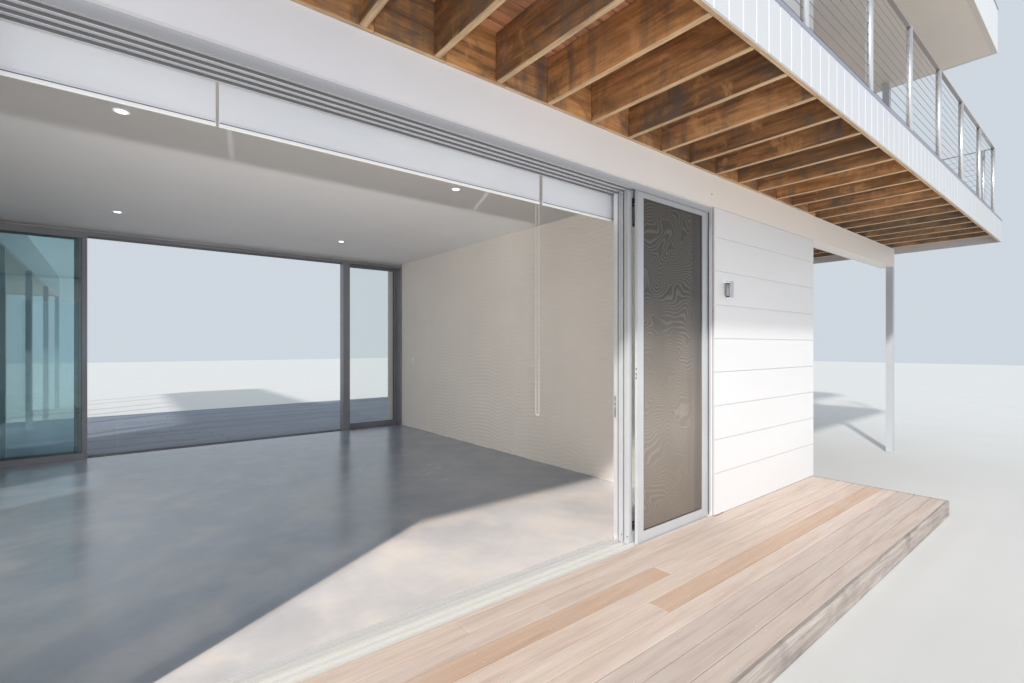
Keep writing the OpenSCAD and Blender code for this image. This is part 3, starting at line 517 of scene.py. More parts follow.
# Painted shade for paint faces that look towards the sun
SUNWARD_SHADE = (0.6, 0.605, 0.615)
M = {
    "white": paint("white_paint", (0.8, 0.8, 0.81), 0.42),
    # painted light: the beam warms towards its right-hand end, for the light that the orange joists
    # bounce onto it
    "beam": paint("beam_paint", (0.785, 0.8, 0.855), 0.42, right=(0.825, 0.775, 0.725)),
    "clad": paint("cladding_paint", (0.755, 0.76, 0.775), 0.38, 0.22, 0.03, (0.4, 0.4, 2.0),
        sunward_shade=SUNWARD_SHADE),
    "fascia": paint("fascia_paint", (0.61, 0.62, 0.645), 0.4, 0.15, 0.03),
    "roof_fascia": paint("roof_fascia_paint", (0.8, 0.81, 0.83), 0.42, 0.15, 0.03,
        under=(0.6, 0.54, 0.48), sunward_shade=SUNWARD_SHADE),
    "ceiling": paint("ceiling_paint", (0.72, 0.7, 0.68), 0.7, 0.1, 0.03),
    "soffit": paint("soffit_paint", (0.72, 0.65, 0.58), 0.7, 0.1, 0.04),
    "post": paint("post_paint", (0.53, 0.55, 0.59), 0.4, 0.1, 0.06),
    "relief": paint("relief_paint", (0.79, 0.745, 0.695), 0.75, 0.2, 0.06),
    "switch": paint("switch_plastic", (0.82, 0.82, 0.81), 0.3, 0.05, 0.03),
    "fitting": paint("white_enamel", (0.9, 0.91, 0.92), 0.3, 0.05, 0.03),
    # painted shadow: the dark band in a blind rail's groove, under the hem
    "slot": paint("groove_painted_shadow", (0.1, 0.115, 0.17), 0.5, 0.1, 0.1),
    # dark rubber and small fittings, and the metal edge's painted shadow
    "dark": paint("dark_parts_and_painted_shadow", (0.1, 0.11, 0.13), 0.7, 0.1, 0.1),
    "seal": paint("grey_seal", (0.17, 0.175, 0.185), 0.7, 0.1, 0.1),
    "black": paint("black_rubber", (0.035, 0.035, 0.04), 0.6, 0.2, 0.2),
    # painted shade: the silver darkens higher up, where the balcony shades the doors
    "silver": metal("silver_aluminium", (0.6, 0.615, 0.64), 0.42, 0.25, (1, 1, 0.05),
        painted_shading_high=(1.6, 2.5, (0.47, 0.49, 0.52))),
    # painted light: the frame's head is lighter, where its tracks lie in shade, and its sill is
    # painted sunlit
    "frame": metal("frame_aluminium", (0.62, 0.63, 0.65), 0.42, 0.25, (0.05, 1, 1), brush=0.04,
        painted_shading_high=(2.6, 2.8, (0.84, 0.86, 0.91)), sill=((0.84, 0.82, 0.79), (0.74, 0.725, 0.71))),
    "grey": metal("grey_aluminium", (0.26, 0.27, 0.3), 0.38, 0.4, (1, 1, 0.05)),
    "capping": metal("capping_metal", (0.34, 0.35, 0.42), 0.4, 0.4),
    "roofing": metal("roof_sheet", (0.42, 0.44, 0.46), 0.45, 0.6),
    "steel": metal("stainless_steel", (0.82, 0.83, 0.845), 0.34, 0.9, (1, 1, 0.08), 0.04),
    "fixings": metal("steel_fixings", (0.55, 0.56, 0.58), 0.28, 1.0, tone=0.06),
    "wire": metal("wire_rope", (0.3, 0.31, 0.33), 0.35, 0.9, tone=0.06),
    # painted reflection: the handrail's steel is tinted grey-brown for the soffit that it mirrors
    "rail": metal("handrail_steel_painted_reflection", (0.42, 0.39, 0.37), 0.32, 0.6, (1, 0.08, 1), 0.05),
    "glass": plain_glass("clear_glass", (0.955, 0.97, 0.965), normal=0.035),
    "left_glass": plain_glass("left_glass", (0.93, 0.96, 0.955), steep=True),
    "rear_glass": plain_glass("tinted_glass", (0.88, 0.935, 0.945), 0.95, 0.07),
    "deck": timber("deck_timber", [(0.62, 0.49, 0.42), (0.75, 0.62, 0.535), (0.83, 0.735, 0.665),
        (0.68, 0.585, 0.56)], 0.62, 0.35, grain=34,
        odd=(0.86, (0.56, 0.36, 0.245), (0.72, 0.5, 0.36)),
        tint=((0.6, 0.61, 0.66), (1, 1, 1), (1.10, 1.02, 0.96))),
    # painted shade: the rear deck's grey timber is darkened and blued for the sky-lit shade that it
    # lies in
    "rear_deck": timber("grey_timber", [(0.15, 0.175, 0.225), (0.22, 0.255, 0.325),
        (0.31, 0.35, 0.43), (0.17, 0.18, 0.22)], 0.6, 0.4),
    "joist": sawn("joist_timber", (1, 0.08, 1), (1, 7, 0.6)),
    "rim": sawn("rim_timber", (0.08, 1, 1), (7, 1, 0.6)),
    "boards": timber("balcony_timber", [(0.3, 0.12, 0.065), (0.55, 0.27, 0.15),
        (0.72, 0.46, 0.3), (0.14, 0.07, 0.045)], 0.6, 0.7,
        grain=26, top=((0.3, 0.27, 0.25), (0.5, 0.45, 0.41)),
        tint=((0.42, 0.38, 0.36), (1, 1, 1), (1.4, 1.35, 1.32))),
    "edge": timber("edge_timber", [(0.24, 0.21, 0.2), (0.44, 0.39, 0.36), (0.66, 0.6, 0.57),
        (0.15, 0.135, 0.13)], 0.7, 0.8),
    "concrete": concrete(), "mesh": insect_mesh(), "cloth": cloth(), "lens": lens()}

for key, nodes in {
        "concrete": "ground_slab", "ceiling": "upper_floor", "beam": "front_beam",
        "white": "porch_beams", "post": "posts", "silver": "window_frames screen_door",
        "glass": "fixed_glass front_inner_glass front_outer_glass", "soffit": "roof_soffit",
        "roof_fascia": "roof_fascia", "frame": "front_door_frame", "grey": "rear_door_frame",
        "left_glass": "front_left_glass", "mesh": "screen_mesh", "fitting": "downlights",
        "rear_glass": "rear_inner_glass rear_middle_glass rear_outer_glass"}.items():
    for node in nodes.split():
        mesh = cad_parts[node].data
        mesh.materials.clear()
        mesh.materials.append(M[key])

# --- sizes from the solids
(LEFT, FRONT, _), (RIGHT, REAR, FLOOR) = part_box("ground_slab")
WALL, UPPER_WALL = 0.26, 0.17
door_lo, door_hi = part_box("front_door_frame")
ROOM, RECESS = door_hi.x, door_lo.y - FRONT
LAP = ROOM - 0.175
HEAD, JOIST = [c.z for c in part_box("front_beam")]
CEILING, UPPER = [c.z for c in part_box("upper_floor")]
REAR_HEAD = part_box("rear_wall")[1].z
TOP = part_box("upper_front_wall")[1].z
SILL, LINTEL = 0.9, 2.15
WINDOW, TERRACE_DOOR = 0.6, 1.1

# --- cladding
BOARD, SKIN, BEHIND, GROOVE, DEPTH = 0.307, 0.018, 0.013, 0.0045, 0.008


def clad(shape, core, axis, face, out, span, z, inner, first, holes=()):
    """Boards on a wall along an axis, with shadow lines. face is its outer plane, out the way that
    it looks, inner its thickness, first a groove's height and each hole (u0, u1, z0, z1)."""
    level, rows = first, list(z)
    while level > z[0] + 0.12:
        if level < z[1] - 0.02:
            rows.append(level)
        level -= BOARD
    cuts = sorted(set(rows + [h for hole in holes for h in hole[2:] if z[0] < h < z[1]]))
    near = sorted((face - out * BEHIND, face - out * inner))
    for z0, z1 in zip(cuts, cuts[1:]):
        free = [span]
        for u0, u1, h0, h1 in holes:
            if h0 < z1 - 1e-4 and h1 > z0 + 1e-4:
                free = [(a, b) for lo, hi in free for a, b in ((lo, u0), (u1, hi)) if a < b]
        low, high = z0 + GROOVE * (z0 in rows), z1 - GROOVE * (z1 in rows)
        profile = [(0, low), (0, high), (DEPTH, high), (DEPTH, z1), (SKIN, z1), (SKIN, z0),
            (DEPTH, z0), (DEPTH, low)]
        for u in free:
            shape.prism([(face - out * d, h) for d, h in profile], axis, u)
            core.board(*((u, near) if axis == "X" else (near, u)), (z0, z1), 0.0, 0.5)


def storey(name, node, *walls):
    """One piece for the cladding and one for the wall behind it."""
    skin, core = shapes(2)
    for wall in walls:
        clad(skin, core, *wall)
    skin.make(name + "_cladding", "white_cladding", "clad", replaces=[node])
    core.make(name + "_lining", "ceiling_paint", "ceiling")


FIRST = FLOOR + 2.53
SIDE = (FRONT + WALL, REAR - WALL)
for name, face, out, head in (("front", FRONT, -1, HEAD), ("rear", REAR, 1, REAR_HEAD)):
    storey(name, name + "_wall", *[
        ("X", face, out, span, (FLOOR, head), inner, FIRST)
        for span, inner in (((LEFT, -ROOM), WALL), ((-ROOM, -LAP), RECESS),
            ((LAP, ROOM), RECESS), ((ROOM, RIGHT), WALL))])
storey("ends", "end_walls", *[
    ("Y", face, out, SIDE, (FLOOR, CEILING), WALL, FIRST,
     [(-WINDOW, WINDOW, FLOOR + SILL, FLOOR + LINTEL)]) for face, out in ((LEFT, -1), (RIGHT, 1))])
for name, face, out, low, sill in (("upper_front", FRONT, -1, JOIST, 0),
        ("upper_rear", REAR, 1, REAR_HEAD, SILL)):
    storey(name, name + "_wall", ("X", face, out, (LEFT, RIGHT), (low, TOP), UPPER_WALL, TOP,
        [(-ROOM, ROOM, UPPER + sill, UPPER + LINTEL)]))
storey("upper_ends", "upper_end_walls", *[
    ("Y", face, out, SIDE, (CEILING, TOP), UPPER_WALL, TOP,
     [(-half, half, UPPER + sill, UPPER + LINTEL)])
    for face, out, half, sill in ((LEFT, -1, WINDOW, SILL), (RIGHT, 1, TERRACE_DOOR, 0))])

# --- decks
EDGE, BOARD_T, BEARER, NAIL_STEP = 0.024, 0.025, 0.9, 0.45


def deck(name, span, slot, key, count, joints, tone):
    """Boards along X between two Y limits, on edge boards and bearers. joints gives some rows'
    joints, counted from the wall, and tone a board's tone from its row and ends."""
    lo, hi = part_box(name)
    front = span[0] < 0
    boards, edges, nails = shapes(3)
    x_lo, x_hi = lo.x + EDGE, hi.x - EDGE
    y_lo, y_hi = (span[0] + EDGE, span[1]) if front else (span[0], span[1] - EDGE)

    def lay(x0, x1, y, t):
        boards.board((x0 + 0.0015, x1 - 0.0015), y,
            (hi.z - BOARD_T, hi.z - rng.uniform(0, 8e-4)), 0.0018, t)
        x = lo.x + NAIL_STEP
        while x < hi.x:
            if x0 + 0.02 < x < x1 - 0.02 and y[1] - y[0] > 0.08:
                for v in (y[0] + 0.025, y[1] - 0.025):
                    nails.rod((x, v, hi.z - 0.003), (x, v, hi.z + 0.0002), 0.0035, 8)
            x += NAIL_STEP

    for i, (a, b) in enumerate(lengths(span, (span[1] - span[0]) / count, 0.0025)):
        row, y = count - i if front else i + 1, (max(y_lo, a), min(y_hi, b))
        x, chosen = x_lo, joints.get(row, ())
        ends = list(chosen)
        while x < x_hi - 0.01:
            end = ends.pop(0) if ends else x + rng.uniform(3.0, 5.1)
            if x_hi - end < 1.4 and not ends and end not in chosen:
                end = x_hi
            lay(x, end, y, tone(row, x, end))
            x = end
    for y in ((lo.y, span[0]), (span[1], hi.y)):
        if y[1] - y[0] > 0.01:
            lay(-LAP + 0.001, LAP - 0.001, inset(y, 0.001), 0.5)
    boards.make(name + "_boards", slot, key, replaces=[name])
    nails.make(name + "_nails", slot, "steel")
    z, under = (lo.z, hi.z - 0.0008), (lo.z, hi.z - BOARD_T - 0.0005)
    for y in ((span[0], span[0] + EDGE), (span[1] - EDGE, span[1])):
        edges.board((lo.x, hi.x), y, z if y[0] < y_lo or y[1] > y_hi else under, 0.002)
    for x in ((lo.x, x_lo - 0.0005), (x_hi + 0.0005, hi.x)):
        edges.board(x, inset((y_lo, y_hi), 0.0004), z, 0.002)
    x = lo.x + BEARER
    while x < hi.x - BEARER / 2:
        edges.board((x - 0.035, x + 0.035), inset(span, EDGE), under, 0.003)
        x += BEARER
    edges.make(name + "_frame", slot, "edge")


def front_tone(row, x0, x1):
    if (row == 3 and x1 < 1.6) or (row == 5 and x0 > 1.0):
        return 0.97
    if row >= 7:
        return rng.uniform(0.12, 0.26)
    return 0.8 if row == 4 else rng.uniform(0.42, 0.72)


deck("front_deck", (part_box("front_deck")[0].y, FRONT), "deck_timber", "deck", 9,
    {3: (-1.9, 1.557), 5: (-1.7, 1.12), 2: (0.6,)}, front_tone)
deck("rear_deck", (REAR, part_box("rear_deck")[1].y), "grey_timber", "rear_deck", 26, {},
    lambda row, x0, x1: rng.random())

for name in ("balcony", "terrace"):
    lo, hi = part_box(name + "_boards")
    boards = Shape()
    for y in lengths((lo.y, hi.y), 0.0935, 0.003):
        for x in butted(lo.x, hi.x, lambda: rng.uniform(1.8, 3.6), 0.9):
            boards.board(inset(x, 0.001), y, (lo.z, hi.z), 0.003)
    boards.make(name + "_decking", "balcony_timber", "boards", replaces=[name + "_boards"])

# --- balcony joists
near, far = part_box("balcony_joists"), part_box("terrace_joists")
JOIST_T, RIM, PITCH, END_BAY = 0.039, 0.024, 0.412, 0.686
# How far the joists stand off their even places, from the right end on
OFF = (0, 0.002, -0.003, 0.001, 0, 0.002, 0, 0, -0.007, -0.024, -0.014, -0.018, -0.006, 0.004)
z = (near[0].z, near[1].z)
joists, rims = shapes(2)
first = far[1].x - END_BAY - JOIST_T
for i in range(int((first - near[0].x) / PITCH) + 1):
    x = first - i * PITCH
    side = far if x > far[0].x else near
    if side is far or x + JOIST_T <= far[0].x:
        x = max(x + OFF[i % len(OFF)], side[0].x)
        y = (side[0].y + RIM + 0.0006, side[1].y - RIM - 0.0006)
        joists.board((x, x + JOIST_T), y, (z[0] + rng.uniform(0, 0.0012), z[1] - 0.001), 0.0035)
joists.board((near[0].x, near[0].x + JOIST_T), (near[0].y + RIM, near[1].y - RIM), z, 0.0035)
for side, end in ((near, far[0].x), (far, far[1].x)):
    for y in (side[0].y, side[1].y - RIM):
        for x in butted(side[0].x, end, lambda: rng.choice((1, 2, 3)) * PITCH, 0.3):
            rims.board(inset(x, 0.0006), (y, y + RIM), z, 0.0025)
joists.make("joist_boards", "joist_timber", "joist", replaces=["balcony_joists", "terrace_joists"])
rims.make("joist_rims", "joist_timber", "rim")

# --- balcony fascia
edge_lo, edge_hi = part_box("balcony_fascia")
T, V = 0.012, 0.006


def runs(over, gap):
    """Axis, span, outer and inner face of the four runs round the balcony."""
    (x0, y0, _), (x1, y1, _) = edge_lo, edge_hi
    return (("X", (x0 - over, x1 + over), y0 - over, y0 + T),
        ("Y", (y0 + T + gap, FRONT), x0 - over, x0 + T),
        ("Y", (y0 + T + gap, y1 + over), x1 + over, x1 - T),
        ("X", (RIGHT, x1 - T - gap), y1 + over, y1 - T))


# Upright boards with V joints between them
fascia = Shape()
for axis, span, face, back in runs(0, 0.001):
    v = V if face > back else -V
    for a, b in lengths(span, 0.138, 0.0004):
        outline = [(a, back), (b, back), (b, face - v), (b - V, face), (a + V, face), (a, face - v)]
        fascia.prism([p[::-1] for p in outline] if axis == "Y" else outline, "Z",
            (edge_lo.z, edge_hi.z))
fascia.make("fascia_boards", "fascia_paint", "fascia", replaces=["balcony_fascia"])

# --- metal edge and capping
deck_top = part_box("balcony_boards")[1].z
LIP, OVER, SHADE = 0.023, 0.003, 0.008
z0, z1 = edge_hi.z, deck_top + LIP
metal_edge, edge_shadow = shapes(2)
for axis, span, outer, inner in runs(OVER, 0.002):
    bend = outer - copysign(0.004, outer - inner)
    for u in lengths(span, 2.4, 0.0006):
        metal_edge.prism([(inner, z0), (bend, z0), (outer, z0 + 0.003), (outer, z1 - SHADE),
            (inner, z1 - SHADE)], axis, u)
    across = tuple(sorted((inner, bend)))
    # painted shadow: a solid dark strip along the top of the metal edge
    edge_shadow.board(*((span, across) if axis == "X" else (across, span)), (z1 - SHADE, z1), 0.001,
        0.5)
metal_edge.make("metal_edge", "capping_metal", "capping", replaces=["metal_capping"])
edge_shadow.make("metal_edge_joint", "capping_metal", "dark")

WIDE, DEEP, OUT = 0.076, 0.014, 0.008
cap, roof = Shape(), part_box("roof_fascia")
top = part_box("metal_capping")[1].z
x, y = (roof[0].x - OUT, roof[1].x + OUT), (roof[0].y - OUT, roof[1].y + OUT)
for axis, span, ends in (("X", x, y), ("Y", inset(y, WIDE), x)):
    for a, b in zip(ends, (1, -1)):
        rows = [(a + b * u, top - v)
            for u, v in ((0, DEEP), (0, 0.003), (0.003, 0.0005), (0.04, 0), (WIDE - 0.003, 0.001),
                (WIDE, 0.003), (WIDE, DEEP))]
        for u in lengths(span, 3.0, 0.0008):
            cap.prism(rows, axis, u)
cap.make("roof_capping", "capping_metal", "capping")

# --- balustrades
RAIL_H, POST_R, INSET, RAIL_W, RAIL_T = 1.085, 0.025, 0.086, 0.038, 0.01
BAY, LONG, BAYS, WIRES, WIRE_PITCH, WIRE_R = 1.122, 1.238, 5, 12, 0.082, 0.002
FLANGE_R, FLANGE_T, BOLTS_AT = 0.045, 0.006, 0.0345
UNDER = RAIL_H - RAIL_T
# Ends, radii and sides of the rods in a post's fixings, up from the deck
FIXINGS = ((0, FLANGE_T * 0.6, FLANGE_R, FLANGE_R, 40),
    (FLANGE_T * 0.6, FLANGE_T, FLANGE_R, FLANGE_R - 0.002, 40),
    (FLANGE_T, FLANGE_T + 0.004, POST_R + 0.003, POST_R, 32),
    (UNDER - 0.006, UNDER, 0.018, 0.018, 24))
# The same for a wire's strainer, along the wire from the post's face
STRAINER = ((-0.08, -0.066, 0.003, 0.0045, 12), (-0.066, -0.036, 0.0045, 0.0045, 12),
    (-0.036, -0.03, 0.0058, 0.0058, 6), (-0.03, -0.008, 0.003, 0.003, 12),
    (-0.008, -0.001, 0.0059, 0.0059, 6), (-0.001, 0.002, 0.0055, 0.0055, 16))


def even(first, last):
    bays = ceil((last - first) / LONG - 1e-9)
    return [first + i * (last - first) / bays for i in range(bays + 1)]


def balustrade(name, origin, turned, length, posts, strained):
    """Tubes, flanges, bolts, handrail, wires and strainers of a straight run."""
    tubes, rail, wires, ends, bolts = shapes(5)

    def at(u, v, h):
        x, y = (-v, u) if turned else (u, v)
        return origin[0] + x, origin[1] + y, deck_top + h

    for p in posts:
        tubes.rod(at(p, 0, FLANGE_T), at(p, 0, UNDER), POST_R, 40, tone=0.5)
        for a, b, r0, r1, n in FIXINGS:
            ends.rod(at(p, 0, a), at(p, 0, b), r0, n, r1, 0.5)
        for k in range(4):
            a = pi / 4 + k * pi / 2
            u, v = p + BOLTS_AT * cos(a), BOLTS_AT * sin(a)
            bolts.rod(at(u, v, FLANGE_T), at(u, v, FLANGE_T + 0.0015), 0.0065, 16)
            bolts.rod(at(u, v, FLANGE_T + 0.0015), at(u, v, FLANGE_T + 0.006), 0.0048, 6)
    a, b = at(0.0, -RAIL_W / 2, UNDER), at(length, RAIL_W / 2, RAIL_H)
    rail.board(*[tuple(sorted(pair)) for pair in zip(a, b)], 0.0025, 0.5)
    for h in [i * WIRE_PITCH for i in range(1, WIRES + 1)]:
        wires.rod(at(posts[0], 0, h), at(posts[-1], 0, h), WIRE_R, 8, tone=0.5)
        for p in posts:
            if p not in strained:
                ends.rod(at(p - POST_R - 0.001, 0, h), at(p + POST_R + 0.001, 0, h), 0.0034, 10,
                    tone=0.5)
        for p in strained:
            for a, b, r0, r1, n in STRAINER:
                ends.rod(at(p - POST_R + a, 0, h), at(p - POST_R + b, 0, h), r0, n, r1, 0.5)
    node = "front_balustrade" if name.startswith("front") else "side_balustrades"
    tubes.make(name + "_posts", "stainless_steel", "steel", replaces=[node])
    for part, shape, key in (("handrail", rail, "rail"), ("wires", wires, "wire"),
            ("ends", ends, "fixings"), ("bolts", bolts, "fixings")):
        shape.make(f"{name}_{part}", "stainless_steel", key)


rail_x, rail_y = [inset((edge_lo[k], edge_hi[k]), INSET) for k in (0, 1)]
run = rail_x[1] - rail_x[0]
last = run + RAIL_W / 2
strained = last - BAYS * BAY
extra = floor((strained - RAIL_W / 2) / LONG - 0.5)
balustrade("front_balustrade", (rail_x[0] - RAIL_W / 2, rail_y[0]), False, run + RAIL_W,
    [RAIL_W / 2] + [strained - i * LONG for i in range(extra, 0, -1)]
    + [last - i * BAY for i in range(BAYS, -1, -1)], [strained, last])
START, END_POST = RAIL_W / 2 + 0.0003, RAIL_W / 2 + 2 * FLANGE_R
reach = FRONT - rail_y[0] - START
balustrade("left_balustrade", (rail_x[0], rail_y[0] + START), True, reach,
    even(END_POST - START, reach - 2 * POST_R), [reach - 2 * POST_R])
reach = rail_y[1] - rail_y[0] - START
balustrade("right_balustrade", (rail_x[1], rail_y[0] + START), True, reach + RAIL_W / 2,
    even(END_POST - START, reach), [reach])
reach = rail_x[1] - RIGHT
balustrade("rear_balustrade", (RIGHT, rail_y[1]), False, reach - START,
    even(2 * POST_R, reach - END_POST), [reach - END_POST])

# --- relief wall
lo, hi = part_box("feature_wall")
RIDGE, RIDGE_H, COLS = 0.055, 0.005, 260
relief, back = Shape(), lo.x + 0.006
relief.board((back, hi.x), (lo.y, hi.y), (lo.z, hi.z), 0.0, 0.5)
rows = []
count = int((hi.z - lo.z) / RIDGE) * 4
for j in range(count + 1):
    z = lo.z + (hi.z - lo.z) * j / count
    rows.append([])
    for i in range(COLS + 1):
        y = lo.y + (hi.y - lo.y) * i / COLS
        wave = 0.022 * sin(2 * pi * y / 0.62 + 0.4) + 0.012 * sin(2 * pi * y / 0.41 + 1.1)
        height = 0.5 - 0.5 * cos(2 * pi * (z + wave) / RIDGE)
        rows[-1].append((back - RIDGE_H * height, y, z))
relief.grid(rows, 0.5)
relief.make("relief_wall", "relief_panel", "relief", replaces=["feature_wall"], closed=False)

# --- blinds
lo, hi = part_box("blind_fabric")
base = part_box("blind_fittings")[0].z
SPACE, BRACKET, RADIUS, FOLD, TURNS, STEPS = 0.02, 0.0043, 0.038, 0.0007, 9, 28
# The first two blinds stand closer together than the drive lets the third stand
CLOSE, RAIL_LOW, RAIL_SLOT, RAIL_TOP = 0.0075, 0.016, 0.021, 0.03
width = (2 * ROOM - 4 * SPACE) / 3
roll_y, roll_z = (lo.y + hi.y) / 2, hi.z - RADIUS
path = []
for i in range(TURNS * STEPS + 1):
    t = i / STEPS
    r = RADIUS - FOLD * (TURNS - t)
    a = pi + 2 * pi * t
    path.append((roll_y + r * cos(a), roll_z + r * sin(a)))
path += [(roll_y - RADIUS, roll_z - (roll_z - lo.z) * i / 12) for i in range(1, 13)]
length = sum(dist(a, b) for a, b in zip(path, path[1:]))
y0, y1 = roll_y - RADIUS - 0.004, roll_y - RADIUS + 0.007
across, foot = (y0 + 0.0006, y1 - 0.0006), (roll_y - 0.019, roll_y + 0.019)
rails, groove_shadows, wraps, plates = shapes(4)
for k in range(3):
    x0 = -ROOM + SPACE + k * (width + SPACE) + BRACKET
    x1 = x0 + width - 2 * BRACKET
    x0, x1 = x0 - CLOSE * (k == 1), x1 + CLOSE * (k == 0)
    sheet = Shape()
    sheet.grid([[(x0 + (x1 - x0) * i / 16, y, z) for i in range(17)] for y, z in path], 0.5)
    ob = sheet.make(f"blind_{k + 1}", "blind_cloth", "cloth", closed=False,
        replaces=["blind_fabric"])

    # bottom rail: a rounded bar, its groove filled with a dark band of painted shadow, and the
    # wrapped hem on it
    rails.prism([(y0, base + RAIL_LOW), (y0, base + 0.003), (y0 + 0.003, base), (y1 - 0.003, base),
        (y1, base + 0.003), (y1, base + RAIL_LOW)], "X", (x0, x1), 0.2)
    for e in (x0, x1):
        rails.board((e - 0.001, e + 0.001), across, (base + 0.0006, base + RAIL_TOP), 0.0004, 0.4)
    groove_shadows.board((x0 + 0.0015, x1 - 0.0015), (y0 + 0.0012, y1 - 0.0012),
        (base + RAIL_LOW, base + RAIL_SLOT), 0.0003, 0.5)
    wraps.board((x0 + 0.0012, x1 - 0.0012), across, (base + RAIL_SLOT, base + RAIL_TOP), 0.0012,
        0.5)
    # brackets with a foot, a pin in the roll and two screws
    for e, s in ((x0, -1), (x1, 1)):
        plates.board(sorted((e + s * 0.0005, e + s * 0.004)), foot,
            (roll_z - 0.019, CEILING - 0.002), 0.0015, 0.3)
        plates.board(sorted((e + s * 0.004, e - s * 0.03)), foot, (CEILING - 0.0025, CEILING),
            0.0006, 0.3)
        plates.rod((e + s * 0.004, roll_y, roll_z), (e - s * 0.012, roll_y, roll_z), 0.008, 16)
        plates.rod((e - s * 0.0005, roll_y, roll_z), (e + s * 0.0004, roll_y, roll_z), 0.024, 28)
        for y in (roll_y - 0.011, roll_y + 0.011):
            plates.rod((e - s * 0.017, y, CEILING - 0.004), (e - s * 0.017, y, CEILING - 0.0024),
                0.0035, 10)

# --- bead chain and its wheel
lo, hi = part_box("bead_chain")
BEAD_R, TEETH = 0.0024, 14
cx, cy, loop = (lo.x + hi.x) / 2, (lo.y + hi.y) / 2, (hi.y - lo.y) / 2
wheel = loop - 0.0085
plates.rod((cx - 0.01, roll_y, roll_z), (cx + 0.002, roll_y, roll_z), wheel, 24)
for i in range(TEETH):
    a = 2 * pi * i / TEETH
    y, z = roll_y + wheel * cos(a), roll_z + wheel * sin(a)
    plates.rod((cx - 0.002, y, z), (cx + 0.002, y, z), 0.0022, 6)
rails.make("blind_rails", "white_metal", "fitting", replaces=["blind_fittings"])
groove_shadows.make("blind_rail_slots", "white_metal", "slot")
wraps.make("blind_hems", "blind_cloth", "cloth")
plates.make("blind_brackets", "white_metal", "fitting")

chain, half = Shape(), loop - 0.0025
z0, z1 = lo.z + 0.0025 + half, hi.z - 0.0025 - half
# An icosahedron: a point, two rings of five and a point
BEAD = [(0, 0, 1), *[(0.8944 * cos(pi * a), 0.8944 * sin(pi * a), h)
    for h, first in ((0.4472, 0), (-0.4472, 0.2))
    for a in [first + 0.4 * k for k in range(5)]], (0, 0, -1)]
BEAD_FACES = []
for k in range(5):
    a, b = 1 + k, 1 + (k + 1) % 5
    BEAD_FACES += [(0, a, b), (a, a + 5, b), (a + 5, b + 5, b), (11, b + 5, a + 5)]


def bead(y, z):
    chain.add([(cx + BEAD_R * a, y + BEAD_R * b, z + BEAD_R * c) for a, b, c in BEAD], BEAD_FACES,
        0.5, True)


n = int((z1 - z0) / 0.006)
for i, s in product(range(n + 1), (-1, 1)):
    bead(cy + s * half, z0 + (z1 - z0) * i / n)
for i in range(1, 9):
    a = pi * i / 9
    bead(cy + half * cos(a), z0 - half * sin(a))
    bead(cy + half * cos(a), z1 + half * sin(a))
for s in (-1, 1):
    chain.rod((cx, cy + s * half, z0), (cx, cy + s * half, z1), 0.0007, 5, tone=0.5)
chain.make("chain_beads", "white_plastic", "fitting", replaces=["bead_chain"])

# --- small fittings
lenses = Shape()
lo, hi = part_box("downlights")
for x, y in product(*[inset((lo[k], hi[k]), 0.048) for k in (0, 1)]):
    lenses.rod((x, y, CEILING - 0.0038), (x, y, CEILING - 0.0026), 0.0335, 28, 0.0338)
lenses.make("downlight_lenses", "white_plastic", "lens")

lo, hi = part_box("wall_light_body")
light, caps, glow = shapes(3)
x, y = lo.x + 0.022, hi.y - 0.026
light.board((x - 0.02, x + 0.02), (hi.y - 0.008, hi.y), (lo.z + 0.02, hi.z - 0.02), 0.002)
light.rod((x, y, lo.z + 0.016), (x, y, hi.z - 0.016), 0.016, 28)
light.board((x - 0.021, x + 0.035), (hi.y - 0.064, hi.y - 0.06), (lo.z, hi.z), 0.0015)
for z in (lo.z + 0.03, hi.z - 0.03):
    light.rod((x, hi.y - 0.03, z), (x, hi.y - 0.061, z), 0.004, 10)
for z0, z1 in ((lo.z + 0.009, lo.z + 0.018), (hi.z - 0.018, hi.z - 0.009)):
    caps.rod((x, y, z0), (x, y, z1), 0.0168, 28)
glow.rod((x, y, hi.z - 0.0095), (x, y, hi.z - 0.0075), 0.013, 24)
light.make("wall_light_case", "silver_aluminium", "silver", replaces=["wall_light_body"])
caps.make("wall_light_caps", "white_plastic", "black")
glow.make("wall_light_lenses", "white_plastic", "lens")
plug = Shape()
plug.rod((2.817, FRONT - 0.0004, 3.056), (2.817, FRONT + 0.003, 3.056), 0.007, 16)
plug.make("beam_plug", "white_paint", "dark")

lo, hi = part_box("switch_plate")
switch, mid = Shape(), (lo.y + hi.y) / 2
switch.board((lo.x + 0.002, hi.x), (lo.y, hi.y), (lo.z, hi.z), 0.003, 0.3)
for s in (-1, 1):
    y = sorted((mid + s * 0.002, mid + s * 0.022))
    switch.board((lo.x, lo.x + 0.004), y, (lo.z + 0.03, hi.z - 0.03), 0.0015, 0.6)
switch.make("switch_face", "white_plastic", "switch", replaces=["switch_plate"])

# --- door and window hardware
def ring(shape, lo, hi, w, d):
    """Rubber strips round a pane, on both of its faces."""
    k = 1 if hi.x - lo.x > hi.y - lo.y else 0
    a = 1 - k
    wide, up = (lo[a], hi[a]), (lo.z + w, hi.z - w)
    for across in ((lo[k] - d, lo[k]), (hi[k], hi[k] + d)):
        for u, z in ((wide, (lo.z, up[0])), (wide, (up[1], hi.z)), ((lo[a], lo[a] + w), up),
                ((hi[a] - w, hi[a]), up)):
            shape.board(*((u, across) if k else (across, u)), z, 0.0008, 0.5)


BEADING, STEP, ROUND, SEAT = 0.022, 0.007, 0.0015, 0.0003


